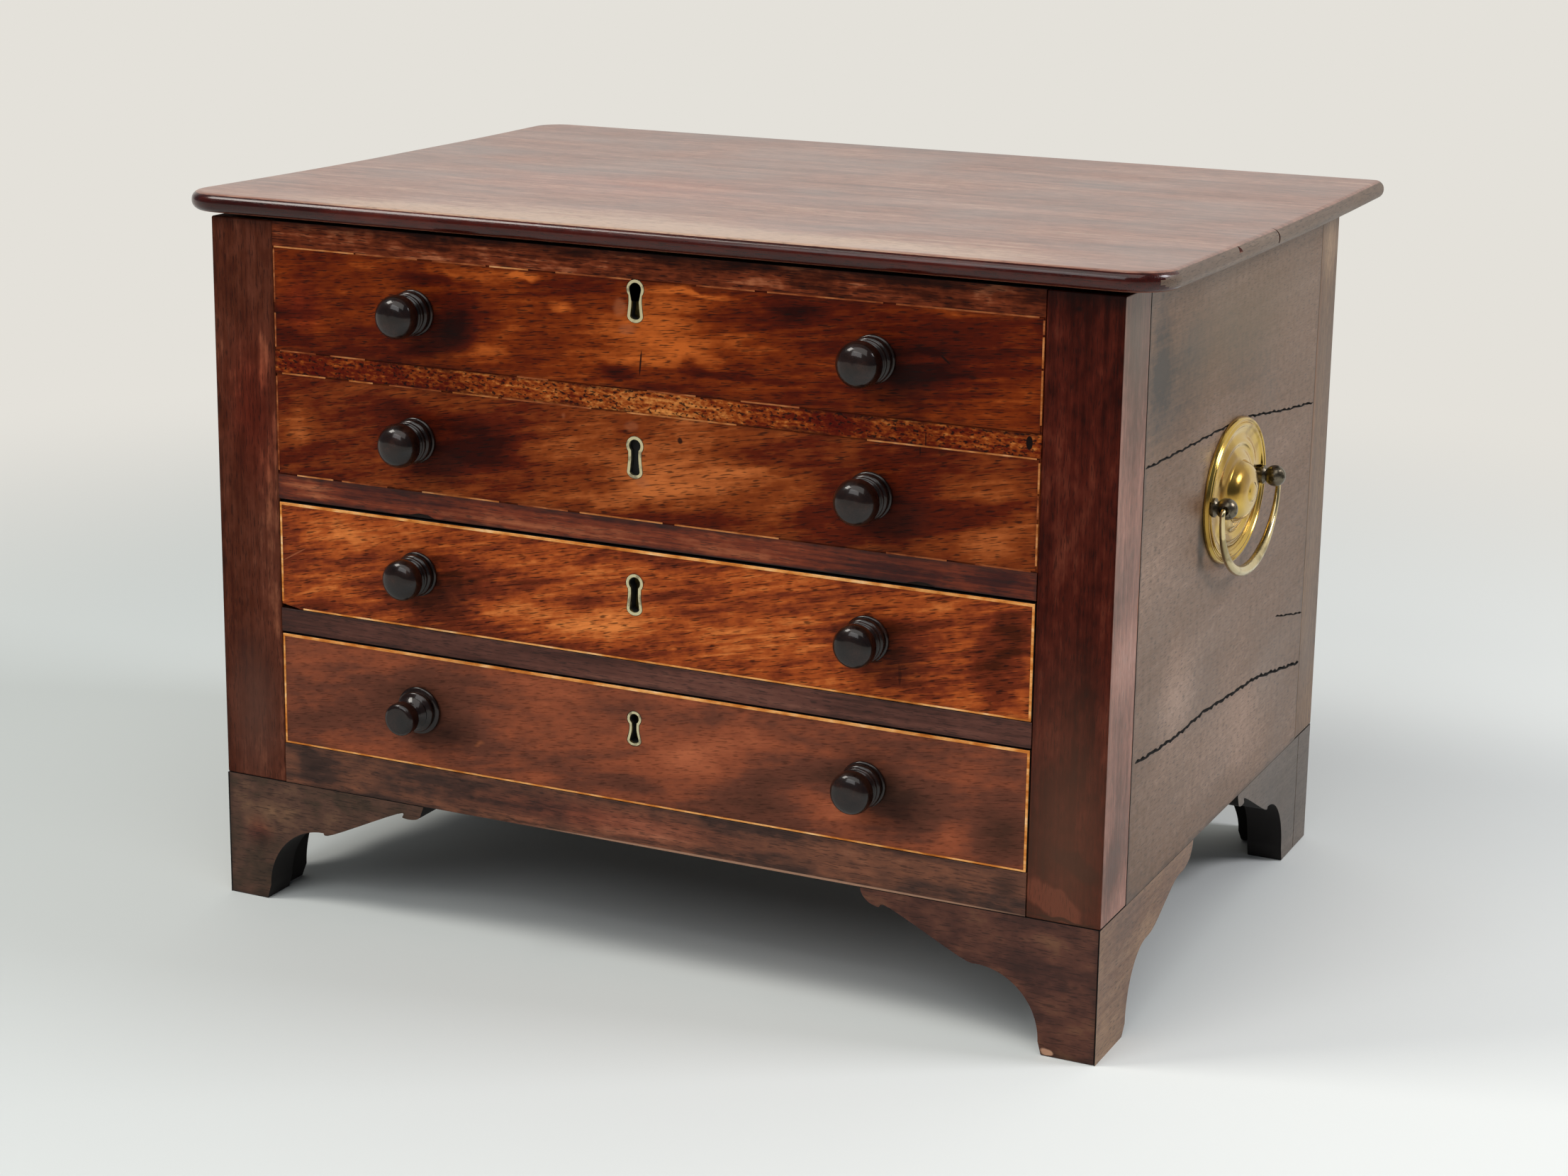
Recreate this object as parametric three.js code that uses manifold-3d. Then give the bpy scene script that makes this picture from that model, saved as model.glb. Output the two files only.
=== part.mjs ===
// Early nineteenth century mahogany collector's chest on bracket feet.
// A hinged lid covers a well behind two sham drawer fronts, and two real drawers run below it.
// Lengths are millimetres. X runs along the front, Y from the front to the back, and Z is up.
// Sizes are worked out from the front face, the middle of the width and the floor.

import * as THREE from 'three';
import Module from 'manifold-3d';
import { mergeVertices } from 'three/addons/utils/BufferGeometryUtils.js';

const wasm = await Module();
wasm.setup();

// Carcass
const carcassWidth = 450;
const carcassDepth = 326;
const footHeight = 62;
const stileWidth = 34;
const frontPostDepth = 33;
const rearPostWidth = 30;
const rearPostDepth = 30;
const sidePanelThickness = 11;
const backPanelThickness = 12;
const wellFrontThickness = 11;
const wellFloorThickness = 6;
const wellFloorLift = 0.6;
const wellFloorHousing = 4;
const bottomBoardThickness = 8;

// Heights on the front, from the bottom of the carcass upwards
const bottomRailHeight = 20;
const lowerOpeningHeight = 56;
const drawerRailHeight = 11.5;
const upperOpeningHeight = 53;
const wellBandHeight = 12.5;
const lowerShamHeight = 49;
const shamRailHeight = 10;
const upperShamHeight = 49.5;
const topBandHeight = 11.5;

// Joinery
const glueLine = 0.2;
const cutOverrun = 1;
const grooveWidth = 5;
const grooveDepth = 5;
const grooveSetback = 3;
const tenonLength = 12;
const tenonShoulder = 2;
const tenonSetback = 6;
const railDepth = 33;

// Runners, guides and drawer stops
const runnerWidth = 38;
const guideHeight = 14;
const stopWidth = 16;
const stopDepth = 9;
const stopHeight = 2.5;
const stopSpacing = 220;
const stopClearance = 0.3;
const stopRoot = 1;

// Drawers
const drawerSideClearance = 0.6;
const drawerTopClearance = 1;
const drawerRunClearance = 0.3;
const drawerBackClearance = 16;
const drawerFrontThickness = 12;
const drawerSideThickness = 7;
const drawerSideDrop = 2;
const drawerBackThickness = 6;
const drawerBackDrop = 5;
const drawerBackInset = 4;
const drawerBottomThickness = 4;
const drawerBottomLift = 4.5;
const drawerBottomHousing = 3;
const dovetailLap = 3;
const dovetailFlare = 1.8;
const dovetailShares = { centre: [0.34, 0.76], halfRoot: 0.12 };

// Lid
const lidThickness = 9;
const lidFrontOverhang = 5;
const lidSideOverhang = 18;
const lidBackOverhang = 18;
const lidFrontCornerRadius = 22;
const lidLeftBackCornerRadius = 18;
const lidRightBackCornerRadius = 5;
const lidCup = 1.6;
const lidSeatClearance = 0.3;
const lidArcSteps = 3;
const lidRoundShare = 0.93;
const lidEdgeShares = [0, 0.13, 0.42, 1];
const lidCornerShares = [0.35, 0.6, 1];
const lidFieldSteps = 10;

// Lid hinges
const hingeLength = 38;
const hingeLeafDepth = 11;
const hingeLeafThickness = 1.6;
const hingeKnuckleRadius = 3;
const hingePinRadius = 1.2;
const hingeClearance = 0.3;
const hingeBackClearance = 0.4;
const hingeAxisRise = 0.8;
const hingeKnuckleShare = 0.36;
const hingeInset = 30;

// Locks
const lockWidth = 50;
const lockHeight = 32;
const lockRecess = 6.5;
const lockWall = 1.4;
const lockFlangeThickness = 1.5;
const lockFlangeWidth = 62;
const boltThickness = 3;
const boltWidth = 14;
const boltLength = 20;
const boltThrow = 4;
const boltClearance = 0.4;
const linkSpacing = 20;
const linkPostWidth = 2.5;
const linkToeLength = 5;
const linkToeHeight = 1.8;
const linkDrop = 11.5;
const linkThickness = 2.4;
const linkPlateLength = 38;
const linkPlateThickness = 1.4;
const lidBoltHeight = 2;
const lidBoltDepth = 2;
const lidBoltRiser = 2;
const linkClearance = 0.8;

// Knobs
const knobSpacing = 228;
const knobShankRadius = 4;
const knobShankLength = 8;
const knobShankClearance = 0.3;
const knobSides = 16;
const ballKnobRadius = 10.7;
const ballKnobReach = 22;
const flatKnobRadius = 10.6;
const flatKnobReach = 19.4;
const buttonKnobRadius = 11.4;
const buttonKnobReach = 19.8;
// Radius and reach of each turned ring, as shares of the knob's radius and reach
const ballKnobShares = [[0.97, 0], [1, 0.06], [0.82, 0.1], [0.94, 0.15], [0.95, 0.22], [0.77, 0.3],
  [0.83, 0.36], [0.7, 0.42], [0.87, 0.5], [0.95, 0.63], [0.92, 0.78], [0.73, 0.91], [0.42, 0.98], [0, 1]];
const flatKnobShares = [[0.98, 0], [1, 0.08], [0.82, 0.12], [0.93, 0.17], [0.94, 0.25], [0.76, 0.32],
  [0.82, 0.39], [0.68, 0.45], [0.84, 0.54], [0.92, 0.66], [0.89, 0.8], [0.7, 0.92], [0.4, 0.98], [0, 1]];
const buttonKnobShares = [[0.98, 0], [1, 0.1], [0.84, 0.16], [0.86, 0.26], [0.74, 0.32], [0.7, 0.4],
  [0.54, 0.47], [0.46, 0.58], [0.6, 0.65], [0.69, 0.72], [0.69, 0.88], [0.61, 0.97], [0, 1]];

// Escutcheons
const escutcheonThickness = 1.2;
const escutcheonBorder = 1.7;
const escutcheonClearance = 0.15;
const shamKeyholeDepth = 2.4;
const keyArcSteps = 6;
const plainEscutcheon = { height: 19.2, headRadius: 4.3, waistHalf: 3.3, footHalf: 3.9 };
const flaredEscutcheon = { height: 16.4, headRadius: 3.6, waistHalf: 2.5, footHalf: 3.6 };
// How far below the top edge of each front its keyhole lies
const upperShamKeyDrop = 9.8;
const lowerShamKeyDrop = 20.3;
const upperDrawerKeyDrop = 21.8;
const lowerDrawerKeyDrop = 20;
// Heights above the middle of a plate, as shares of its height
const waistShare = -0.06;
const footShare = -0.34;

// Carrying handles
const handleRise = 159;
const plateHalfLength = 45;
const plateHalfHeight = 34;
const plateProfile = { rimEdge: 1.2, rimTop: 2.6, dish: 1.4, shoulder: 2.6, boss: 6.4, nub: 8.4 };
const plateShares = { rimTop: 0.96, rimInner: 0.88, dish: 0.8, shoulder: 0.5, boss: 0.24, nub: 0.1 };
const plateSides = 32;
const postSpacing = 76;
const postRadius = 2.6;
const postHeadRadius = 4.2;
const postReach = 9;
const postSides = 12;
const postHeadSteps = 7;
const postHoleClearance = 0.3;
const postNutRadius = 6;
const postNutThickness = 3;
const bailDrop = 36;
const bailHalfWidth = 44.5;
const bailCornerRadius = 2.5;
const bailEndRadius = 1.3;
const bailBottomRadius = 2.7;
const bailEyeClearance = 0.35;
const bailEndDepth = 3.6;
const bailSteps = 11;
const bailBendSteps = 3;
const bailSides = 6;

// Bracket feet
const frontBracketLength = 112;
const sideBracketLength = 128;
const backBracketLength = 92;
const bracketThickness = 18;
const backBracketThickness = 22;
const bracketArcSteps = 7;
// Distance from the corner as a share of the bracket's length, and height as a share of the foot's
const crispBracketShares = { leg: 0.19, arcStart: [0.21, 0.12], arcEnd: [0.49, 0.635], flat: [0.54, 0.637] };
const wornBracketShares = { leg: 0.22, arcStart: [0.235, 0.1], arcEnd: [0.5, 0.59], flat: [0.57, 0.62] };
const longBracketShares = { leg: 0.27, arcStart: [0.3, 0.08], arcEnd: [0.5, 0.59], flat: [0.59, 0.62] };
const plainBracketShares = { leg: 0.3, arcStart: [0.32, 0.08], arcEnd: [0.56, 0.5], flat: [0.62, 0.52] };
// The slope and the small nose at its far end
const crispNoseShares = [[0.87, 0.908], [0.895, 0.884], [0.94, 0.88], [0.975, 0.9], [0.99, 0.95]];
const wornNoseShares = [[0.87, 0.885], [0.92, 0.878], [0.96, 0.9], [0.985, 0.94], [0.995, 0.97]];
const longNoseShares = [[0.8, 0.81], [0.9, 0.83], [0.96, 0.87], [0.985, 0.92], [0.995, 0.96]];
const plainNoseShares = [[0.95, 0.86], [0.96, 0.87], [0.97, 0.88], [0.98, 0.9], [0.99, 0.94]];

// Derived sizes
const halfWidth = carcassWidth / 2;
const stileInner = halfWidth - stileWidth;
const rearPostInner = halfWidth - rearPostWidth;
const panelInner = halfWidth - sidePanelThickness;
const rearPostFront = carcassDepth - rearPostDepth;
const backPanelFront = carcassDepth - backPanelThickness;
const drawerDepth = backPanelFront - drawerBackClearance;
const lowerSill = footHeight + bottomRailHeight;
const drawerRailBase = lowerSill + lowerOpeningHeight;
const upperSill = drawerRailBase + drawerRailHeight;
const wellFrontBase = upperSill + upperOpeningHeight;
const lowerShamBase = wellFrontBase + wellBandHeight;
const upperShamBase = lowerShamBase + lowerShamHeight + shamRailHeight;
const carcassTop = upperShamBase + upperShamHeight + topBandHeight;
const wellFloorBase = wellFrontBase + wellFloorLift;
const bottomBoardTop = footHeight + bottomBoardThickness;
const drawerHalfWidth = stileInner - drawerSideClearance;
const drawerSideInner = drawerHalfWidth - drawerSideThickness;
const lidBase = carcassTop + lidSeatClearance;
const lidDepth = carcassDepth + lidFrontOverhang + lidBackOverhang;
const lidMiddle = lidDepth / 2 - lidFrontOverhang;
const lidHalfWidth = halfWidth + lidSideOverhang;
const lidEdgeRadius = lidRoundShare * lidThickness / 2;
const hingeAxisY = carcassDepth + hingeKnuckleRadius + hingeBackClearance;
const hingeAxisZ = carcassTop + hingeAxisRise;
const hingeX = halfWidth - hingeInset;
const knobX = knobSpacing / 2;
const handleZ = footHeight + handleRise;
const handleY = carcassDepth / 2;
const ballKnob = { radius: ballKnobRadius, reach: ballKnobReach, shares: ballKnobShares };
const flatKnob = { radius: flatKnobRadius, reach: flatKnobReach, shares: flatKnobShares };
const buttonKnob = { radius: buttonKnobRadius, reach: buttonKnobReach, shares: buttonKnobShares };
const crispBracket = { ...crispBracketShares, nose: crispNoseShares };
const wornBracket = { ...wornBracketShares, nose: wornNoseShares };
const longBracket = { ...longBracketShares, nose: longNoseShares };
const plainBracket = { ...plainBracketShares, nose: plainNoseShares };

// Finishes
function finish(color, roughness, metalness) {
  return () => new THREE.MeshStandardMaterial({ color, roughness, metalness });
}

const mahoganyFront = finish('#7a3516', 0.32, 0);
const mahoganyDark = finish('#45201a', 0.38, 0);
const mahoganySide = finish('#5d3d31', 0.45, 0);
const mahoganyTop = finish('#6a3a30', 0.28, 0);
const deal = finish('#a98258', 0.75, 0);
const ebonised = finish('#231a17', 0.2, 0);
const paleBrass = finish('#b3a06a', 0.35, 1);
const brass = finish('#c9a544', 0.28, 1);
const steel = finish('#5b5955', 0.5, 1);

// A closed geometry as a solid that can be joined and cut
function solidOf(geometry) {
  const bare = new THREE.BufferGeometry();
  bare.setAttribute('position', geometry.attributes.position);
  bare.setIndex(geometry.index);
  const merged = mergeVertices(bare);
  return new wasm.Manifold(new wasm.Mesh({
    numProp: 3,
    vertProperties: merged.attributes.position.array,
    triVerts: Uint32Array.from(merged.index.array),
  }));
}

function geometryOf(solid) {
  const mesh = solid.getMesh();
  const geometry = new THREE.BufferGeometry();
  geometry.setAttribute('position', new THREE.BufferAttribute(mesh.vertProperties, 3));
  geometry.setIndex(new THREE.BufferAttribute(mesh.triVerts, 1));
  geometry.computeVertexNormals();
  return geometry;
}

const joined = (...solids) => solids.reduce((sum, solid) => sum.add(solid));
const cut = (solid, ...tools) => tools.reduce((rest, tool) => rest.subtract(tool), solid);

// A block between two corners, given as [low, high] along X, Y and Z
function block(x, y, z) {
  const geometry = new THREE.BoxGeometry(x[1] - x[0], y[1] - y[0], z[1] - z[0]);
  geometry.translate((x[0] + x[1]) / 2, (y[0] + y[1]) / 2, (z[0] + z[1]) / 2);
  return solidOf(geometry);
}

// A span measured outwards from the middle of the chest, on one side of it
const span = (side, inner, outer) => (side > 0 ? [inner, outer] : [-outer, -inner]);

const around = (centre, half) => [centre - half, centre + half];
const sideName = (side) => (side > 0 ? 'right' : 'left');
const outline = (points) => new THREE.Shape(points.map(([x, y]) => new THREE.Vector2(x, y)));

// An outline in X and Z, given its thickness along Y
function frontPrism(shape, y) {
  const geometry = new THREE.ExtrudeGeometry(shape, { depth: y[1] - y[0], bevelEnabled: false });
  geometry.rotateX(Math.PI / 2);
  geometry.translate(0, y[1], 0);
  return solidOf(geometry);
}

// An outline in Y and Z, given its thickness along X
function sidePrism(shape, x) {
  const geometry = new THREE.ExtrudeGeometry(shape, { depth: x[1] - x[0], bevelEnabled: false });
  geometry.rotateX(Math.PI / 2);
  geometry.rotateZ(Math.PI / 2);
  geometry.translate(x[0], 0, 0);
  return solidOf(geometry);
}

// An outline in X and Y, given its thickness along Z
function planPrism(shape, z) {
  const geometry = new THREE.ExtrudeGeometry(shape, { depth: z[1] - z[0], bevelEnabled: false });
  geometry.translate(0, 0, z[0]);
  return solidOf(geometry);
}

// A piece turned about Y from [radius, reach] pairs, whose reach is measured forwards from Y = 0
function turned(profile, sides) {
  const points = profile.map(([radius, reach]) => new THREE.Vector2(radius, reach));
  const geometry = new THREE.LatheGeometry(points, sides);
  geometry.rotateZ(Math.PI);
  return geometry;
}

function rodAlongX(radius, x) {
  const geometry = new THREE.CylinderGeometry(radius, radius, x[1] - x[0], knobSides);
  geometry.rotateZ(Math.PI / 2);
  geometry.translate((x[0] + x[1]) / 2, 0, 0);
  return solidOf(geometry);
}

// A closed skin through rings of points, each ring anticlockwise seen from the last one
function loft(rings) {
  const count = rings[0].length;
  const positions = rings.flat().flatMap((point) => [point.x, point.y, point.z]);
  const faces = [];
  for (let ring = 0; ring + 1 < rings.length; ring += 1) {
    for (let i = 0; i < count; i += 1) {
      const a = ring * count + i;
      const b = ring * count + (i + 1) % count;
      faces.push(a, b, a + count, b, b + count, a + count);
    }
  }
  const last = (rings.length - 1) * count;
  for (let i = 1; i + 1 < count; i += 1) {
    faces.push(0, i + 1, i, last, last + i, last + i + 1);
  }
  const geometry = new THREE.BufferGeometry();
  geometry.setAttribute('position', new THREE.Float32BufferAttribute(positions, 3));
  geometry.setIndex(faces);
  return geometry;
}

function place(group, name, shape, material) {
  const geometry = shape instanceof THREE.BufferGeometry ? shape : geometryOf(shape);
  const mesh = new THREE.Mesh(geometry, material);
  mesh.name = name;
  group.add(mesh);
  return mesh;
}

// A key-shaped outline: a round head over a waist and a wider rounded foot
function keyOutline(plate, grow) {
  const headRadius = plate.headRadius + grow;
  const waist = plate.waistHalf + grow;
  const foot = plate.footHalf + grow;
  const top = plate.height / 2 + grow;
  const headCentre = top - headRadius;
  const waistZ = plate.height * waistShare;
  const footZ = plate.height * footShare;
  const neckAngle = Math.acos(waist / headRadius);
  const points = [];
  for (let i = 0; i <= keyArcSteps; i += 1) {
    const angle = (Math.PI + 2 * neckAngle) * i / keyArcSteps - neckAngle;
    points.push([headRadius * Math.cos(angle), headCentre + headRadius * Math.sin(angle)]);
  }
  points.push([-waist, waistZ]);
  for (let i = 0; i <= keyArcSteps; i += 1) {
    const angle = Math.PI * (1 + i / keyArcSteps);
    points.push([foot * Math.cos(angle), footZ + (footZ + top) * Math.sin(angle)]);
  }
  points.push([waist, waistZ]);
  return outline(points);
}

function escutcheon(plate) {
  const face = frontPrism(keyOutline(plate, 0), [0, escutcheonThickness]);
  const through = [-cutOverrun, escutcheonThickness + cutOverrun];
  return cut(face, frontPrism(keyOutline(plate, -escutcheonBorder), through));
}

// The recess for a plate, and the hole behind it to a given depth
function keyholeCut(plate, z, depth) {
  const recess = frontPrism(keyOutline(plate, escutcheonClearance),
    [-cutOverrun, escutcheonThickness + escutcheonClearance]);
  const hole = frontPrism(keyOutline(plate, -escutcheonBorder), [-cutOverrun, depth]);
  return recess.add(hole).translate(0, 0, z);
}

function addEscutcheon(group, name, plate, z) {
  place(group, name, escutcheon(plate), paleBrass()).position.z = z;
}

// Two blind holes for the shanks of a pair of knobs
function knobHoles(z) {
  const radius = knobShankRadius + knobShankClearance;
  const depth = knobShankLength + glueLine;
  const profile = [[0, -depth], [radius, -depth], [radius, cutOverrun], [0, cutOverrun]];
  const hole = solidOf(turned(profile, knobSides));
  return hole.translate(-knobX, 0, z).add(hole.translate(knobX, 0, z));
}

// A turned knob with its shank, held off the board by the glue line
function knob({ radius, reach, shares }) {
  const shank = [[0, -knobShankLength], [knobShankRadius, -knobShankLength], [knobShankRadius, glueLine]];
  const head = shares.map(([across, out]) => [across * radius, out * reach + glueLine]);
  return turned([...shank, ...head], knobSides);
}

// A left and a right knob at one height
function addKnobs(group, row, z, left, right) {
  for (const [side, shape] of [[-1, left], [1, right]]) {
    const mesh = place(group, `${row}_${sideName(side)}_knob`, knob(shape), ebonised());
    mesh.position.set(side * knobX, 0, z);
  }
}

// Locks. Each case is let into the back of its board, with a flange in the board's top edge.

const boltY = (thickness) => thickness - lockRecess + lockWall + boltThickness / 2;

function lockSeat(thickness, top) {
  const y = [thickness - lockRecess - glueLine, thickness + cutOverrun];
  const flangeZ = [top - lockFlangeThickness - glueLine, top + cutOverrun];
  return joined(
    block(around(0, lockWidth / 2 + glueLine), y, [top - lockHeight - glueLine, top + cutOverrun]),
    block(around(0, lockFlangeWidth / 2 + glueLine), y, flangeZ));
}

function lockBody(thickness, top) {
  const y = [thickness - lockRecess, thickness];
  return joined(
    block(around(0, lockWidth / 2), y, [top - lockHeight, top - lockFlangeThickness / 2]),
    block(around(0, lockFlangeWidth / 2), y, [top - lockFlangeThickness, top]));
}

// A drawer lock is open at the top, where its bolt comes out
function drawerLockCase(top) {
  const channel = block(around(0, boltWidth / 2 + boltClearance),
    around(boltY(drawerFrontThickness), boltThickness / 2 + boltClearance),
    [top - boltLength - boltClearance, top + cutOverrun]);
  return cut(lockBody(drawerFrontThickness, top), channel);
}

function drawerLockBolt(top) {
  return block(around(0, boltWidth / 2), around(boltY(drawerFrontThickness), boltThickness / 2),
    [top - boltLength, top - boltClearance]);
}

// The mortise above a drawer that its bolt rises into
function boltMortise(base) {
  return block(around(0, boltWidth / 2 + 2 * boltClearance),
    around(boltY(drawerFrontThickness), boltThickness / 2 + 2 * boltClearance),
    [base - cutOverrun, base + boltThrow + boltClearance]);
}

// The lid's lock takes two links that hang from the lid. Each ends in a toe that points left, and
// the bolt slides right to bring its fingers over the toes.
const lidLockY = boltY(wellFrontThickness);
const linkBase = lidBase - linkDrop;
const toeTop = linkBase + linkToeHeight;
const fingerZ = [toeTop + boltClearance, toeTop + boltClearance + lidBoltHeight];
const barZ = [linkBase - boltClearance - lidBoltHeight, linkBase - boltClearance];
const linkPostX = (side) => side * linkSpacing / 2;
const toeLeft = (side) => linkPostX(side) - linkToeLength;

function lidLockCase() {
  const y = around(lidLockY, linkThickness / 2 + linkClearance);
  const chamber = block(around(0, lockWidth / 2 - lockWall), y,
    [barZ[0] - boltClearance, carcassTop - lockFlangeThickness - lockWall]);
  const slots = [-1, 1].map((side) => block(
    [toeLeft(side) - linkClearance, linkPostX(side) + linkPostWidth + linkClearance], y,
    [barZ[1], carcassTop + cutOverrun]));
  return cut(lockBody(wellFrontThickness, carcassTop), chamber, ...slots);
}

function lidLockBolt() {
  const y = around(lidLockY, lidBoltDepth / 2);
  const fingers = [-1, 1].flatMap((side) => {
    const tip = toeLeft(side) - boltClearance;
    const riserLeft = tip - boltThrow - lidBoltRiser;
    return [
      block([riserLeft, riserLeft + lidBoltRiser], y, [barZ[0], fingerZ[1]]),
      block([riserLeft, tip], y, fingerZ),
    ];
  });
  const barLeft = toeLeft(-1) - boltClearance - boltThrow - lidBoltRiser;
  const barRight = toeLeft(1) - boltClearance - boltThrow;
  return joined(block([barLeft, barRight], y, barZ), ...fingers);
}

// Carcass

const wholeHeight = [footHeight, carcassTop];
const pastEnds = [footHeight - cutOverrun, carcassTop + cutOverrun];
const frontTongueY = [grooveSetback, grooveSetback + grooveWidth];
const backTongueY = [carcassDepth - grooveSetback - grooveWidth, carcassDepth - grooveSetback];
const upperShamKeyZ = upperShamBase + upperShamHeight - upperShamKeyDrop;
const lowerShamKeyZ = lowerShamBase + lowerShamHeight - lowerShamKeyDrop;

// A rail's tenon, or the mortise for it when grown by the glue line
function railTenon(side, base, height, grow) {
  return block(span(side, stileInner - cutOverrun, stileInner + tenonLength + grow),
    [tenonSetback - grow, railDepth - tenonSetback + grow],
    [base + tenonShoulder - grow, base + height - tenonShoulder + grow]);
}

// The groove in a post for the edge of a side panel
function panelGroove(side, y) {
  return block(span(side, halfWidth - grooveSetback - grooveWidth, halfWidth - grooveSetback), y, pastEnds);
}

// The recess in the top of the carcass for the fixed leaf of a hinge
function hingeSeat(side) {
  return block(around(side * hingeX, hingeLength / 2 + hingeClearance),
    [carcassDepth - hingeLeafDepth - glueLine, carcassDepth + cutOverrun],
    [carcassTop - hingeLeafThickness - glueLine, carcassTop + cutOverrun]);
}

function frontPost(side) {
  return cut(block(span(side, stileInner, halfWidth), [0, frontPostDepth], wholeHeight),
    railTenon(side, footHeight, bottomRailHeight, glueLine),
    railTenon(side, drawerRailBase, drawerRailHeight, glueLine),
    block(span(side, stileInner - cutOverrun, stileInner + grooveDepth), frontTongueY,
      [wellFrontBase, carcassTop + cutOverrun]),
    panelGroove(side, [frontPostDepth - grooveDepth, frontPostDepth + cutOverrun]));
}

function rearPost(side) {
  return cut(block(span(side, rearPostInner, halfWidth), [rearPostFront, carcassDepth], wholeHeight),
    panelGroove(side, [rearPostFront - cutOverrun, rearPostFront + grooveDepth]),
    block(span(side, rearPostInner - cutOverrun, rearPostInner + grooveDepth), backTongueY, pastEnds),
    hingeSeat(side));
}

function sidePanel(side) {
  const panel = block(span(side, panelInner, halfWidth),
    [frontPostDepth + glueLine, rearPostFront - glueLine], wholeHeight);
  const tongue = block(
    span(side, halfWidth - grooveSetback - grooveWidth + glueLine, halfWidth - grooveSetback - glueLine),
    [frontPostDepth - grooveDepth + glueLine, rearPostFront + grooveDepth - glueLine], wholeHeight);
  const floorHousing = block(span(side, panelInner - cutOverrun, panelInner + wellFloorHousing),
    [frontPostDepth - grooveDepth, rearPostFront + grooveDepth],
    [wellFloorBase - glueLine, wellFloorBase + wellFloorThickness + glueLine]);
  const through = span(side, panelInner - cutOverrun, halfWidth + cutOverrun);
  const postHole = rodAlongX(postRadius + postHoleClearance, through);
  const postHoles = [-1, 1].map((end) => postHole.translate(0, handleY + end * postSpacing / 2, handleZ));
  return cut(panel.add(tongue), floorHousing, ...postHoles);
}

function backPanel() {
  const panel = block(around(0, rearPostInner - glueLine), [backPanelFront, carcassDepth], wholeHeight);
  const tongue = block(around(0, rearPostInner + grooveDepth - glueLine),
    [backTongueY[0] + glueLine, backTongueY[1] - glueLine], wholeHeight);
  return cut(panel.add(tongue), hingeSeat(-1), hingeSeat(1));
}

function wellFront() {
  const board = block(around(0, stileInner - glueLine), [0, wellFrontThickness],
    [wellFrontBase, carcassTop]);
  const tongue = block(around(0, stileInner + grooveDepth - glueLine),
    [frontTongueY[0] + glueLine, frontTongueY[1] - glueLine], [wellFrontBase + glueLine, carcassTop]);
  return cut(board.add(tongue),
    knobHoles(upperShamBase + upperShamHeight / 2),
    knobHoles(lowerShamBase + lowerShamHeight / 2),
    keyholeCut(plainEscutcheon, upperShamKeyZ, wellFrontThickness),
    keyholeCut(plainEscutcheon, lowerShamKeyZ, shamKeyholeDepth),
    lockSeat(wellFrontThickness, carcassTop),
    boltMortise(wellFrontBase));
}

// Room for a rear post at the corner of a board
function rearNotch(side) {
  return block(span(side, rearPostInner - glueLine, halfWidth),
    [rearPostFront - glueLine, carcassDepth], pastEnds);
}

function wellFloor() {
  const board = block(around(0, panelInner + wellFloorHousing - glueLine),
    [wellFrontThickness + glueLine, backPanelFront - glueLine],
    [wellFloorBase, wellFloorBase + wellFloorThickness]);
  const frontNotch = (side) => block(span(side, stileInner - glueLine, halfWidth),
    [0, frontPostDepth + glueLine], pastEnds);
  return cut(board, frontNotch(-1), frontNotch(1), rearNotch(-1), rearNotch(1));
}

// A rail between the front posts, with two stops on it for the drawer above
function rail(base, height) {
  const bar = block(around(0, stileInner - glueLine), [0, railDepth], [base, base + height]);
  const stopY = drawerFrontThickness + stopClearance;
  const ends = [-1, 1].map((side) => joined(
    railTenon(side, base, height, 0),
    block(around(side * stopSpacing / 2, stopWidth / 2), [stopY, stopY + stopDepth],
      [base + height - stopRoot, base + height + stopHeight])));
  return joined(bar, ...ends);
}

function drawerRail() {
  return cut(rail(drawerRailBase, drawerRailHeight), boltMortise(drawerRailBase));
}

// A strip under a drawer's edge and a guide beside it
function runner(side, base, sill) {
  const y = [frontPostDepth + glueLine, rearPostFront - glueLine];
  return joined(
    block(span(side, panelInner - runnerWidth, panelInner - glueLine), y, [base, sill]),
    block(span(side, stileInner, panelInner - glueLine), y, [sill - stopRoot, sill + guideHeight]));
}

function bottomBoard() {
  const board = block(around(0, panelInner - glueLine), [railDepth + glueLine, backPanelFront - glueLine],
    [footHeight, bottomBoardTop]);
  const runners = [-1, 1].map((side) => runner(side, bottomBoardTop - stopRoot, lowerSill));
  return joined(cut(board, rearNotch(-1), rearNotch(1)), ...runners);
}

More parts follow.
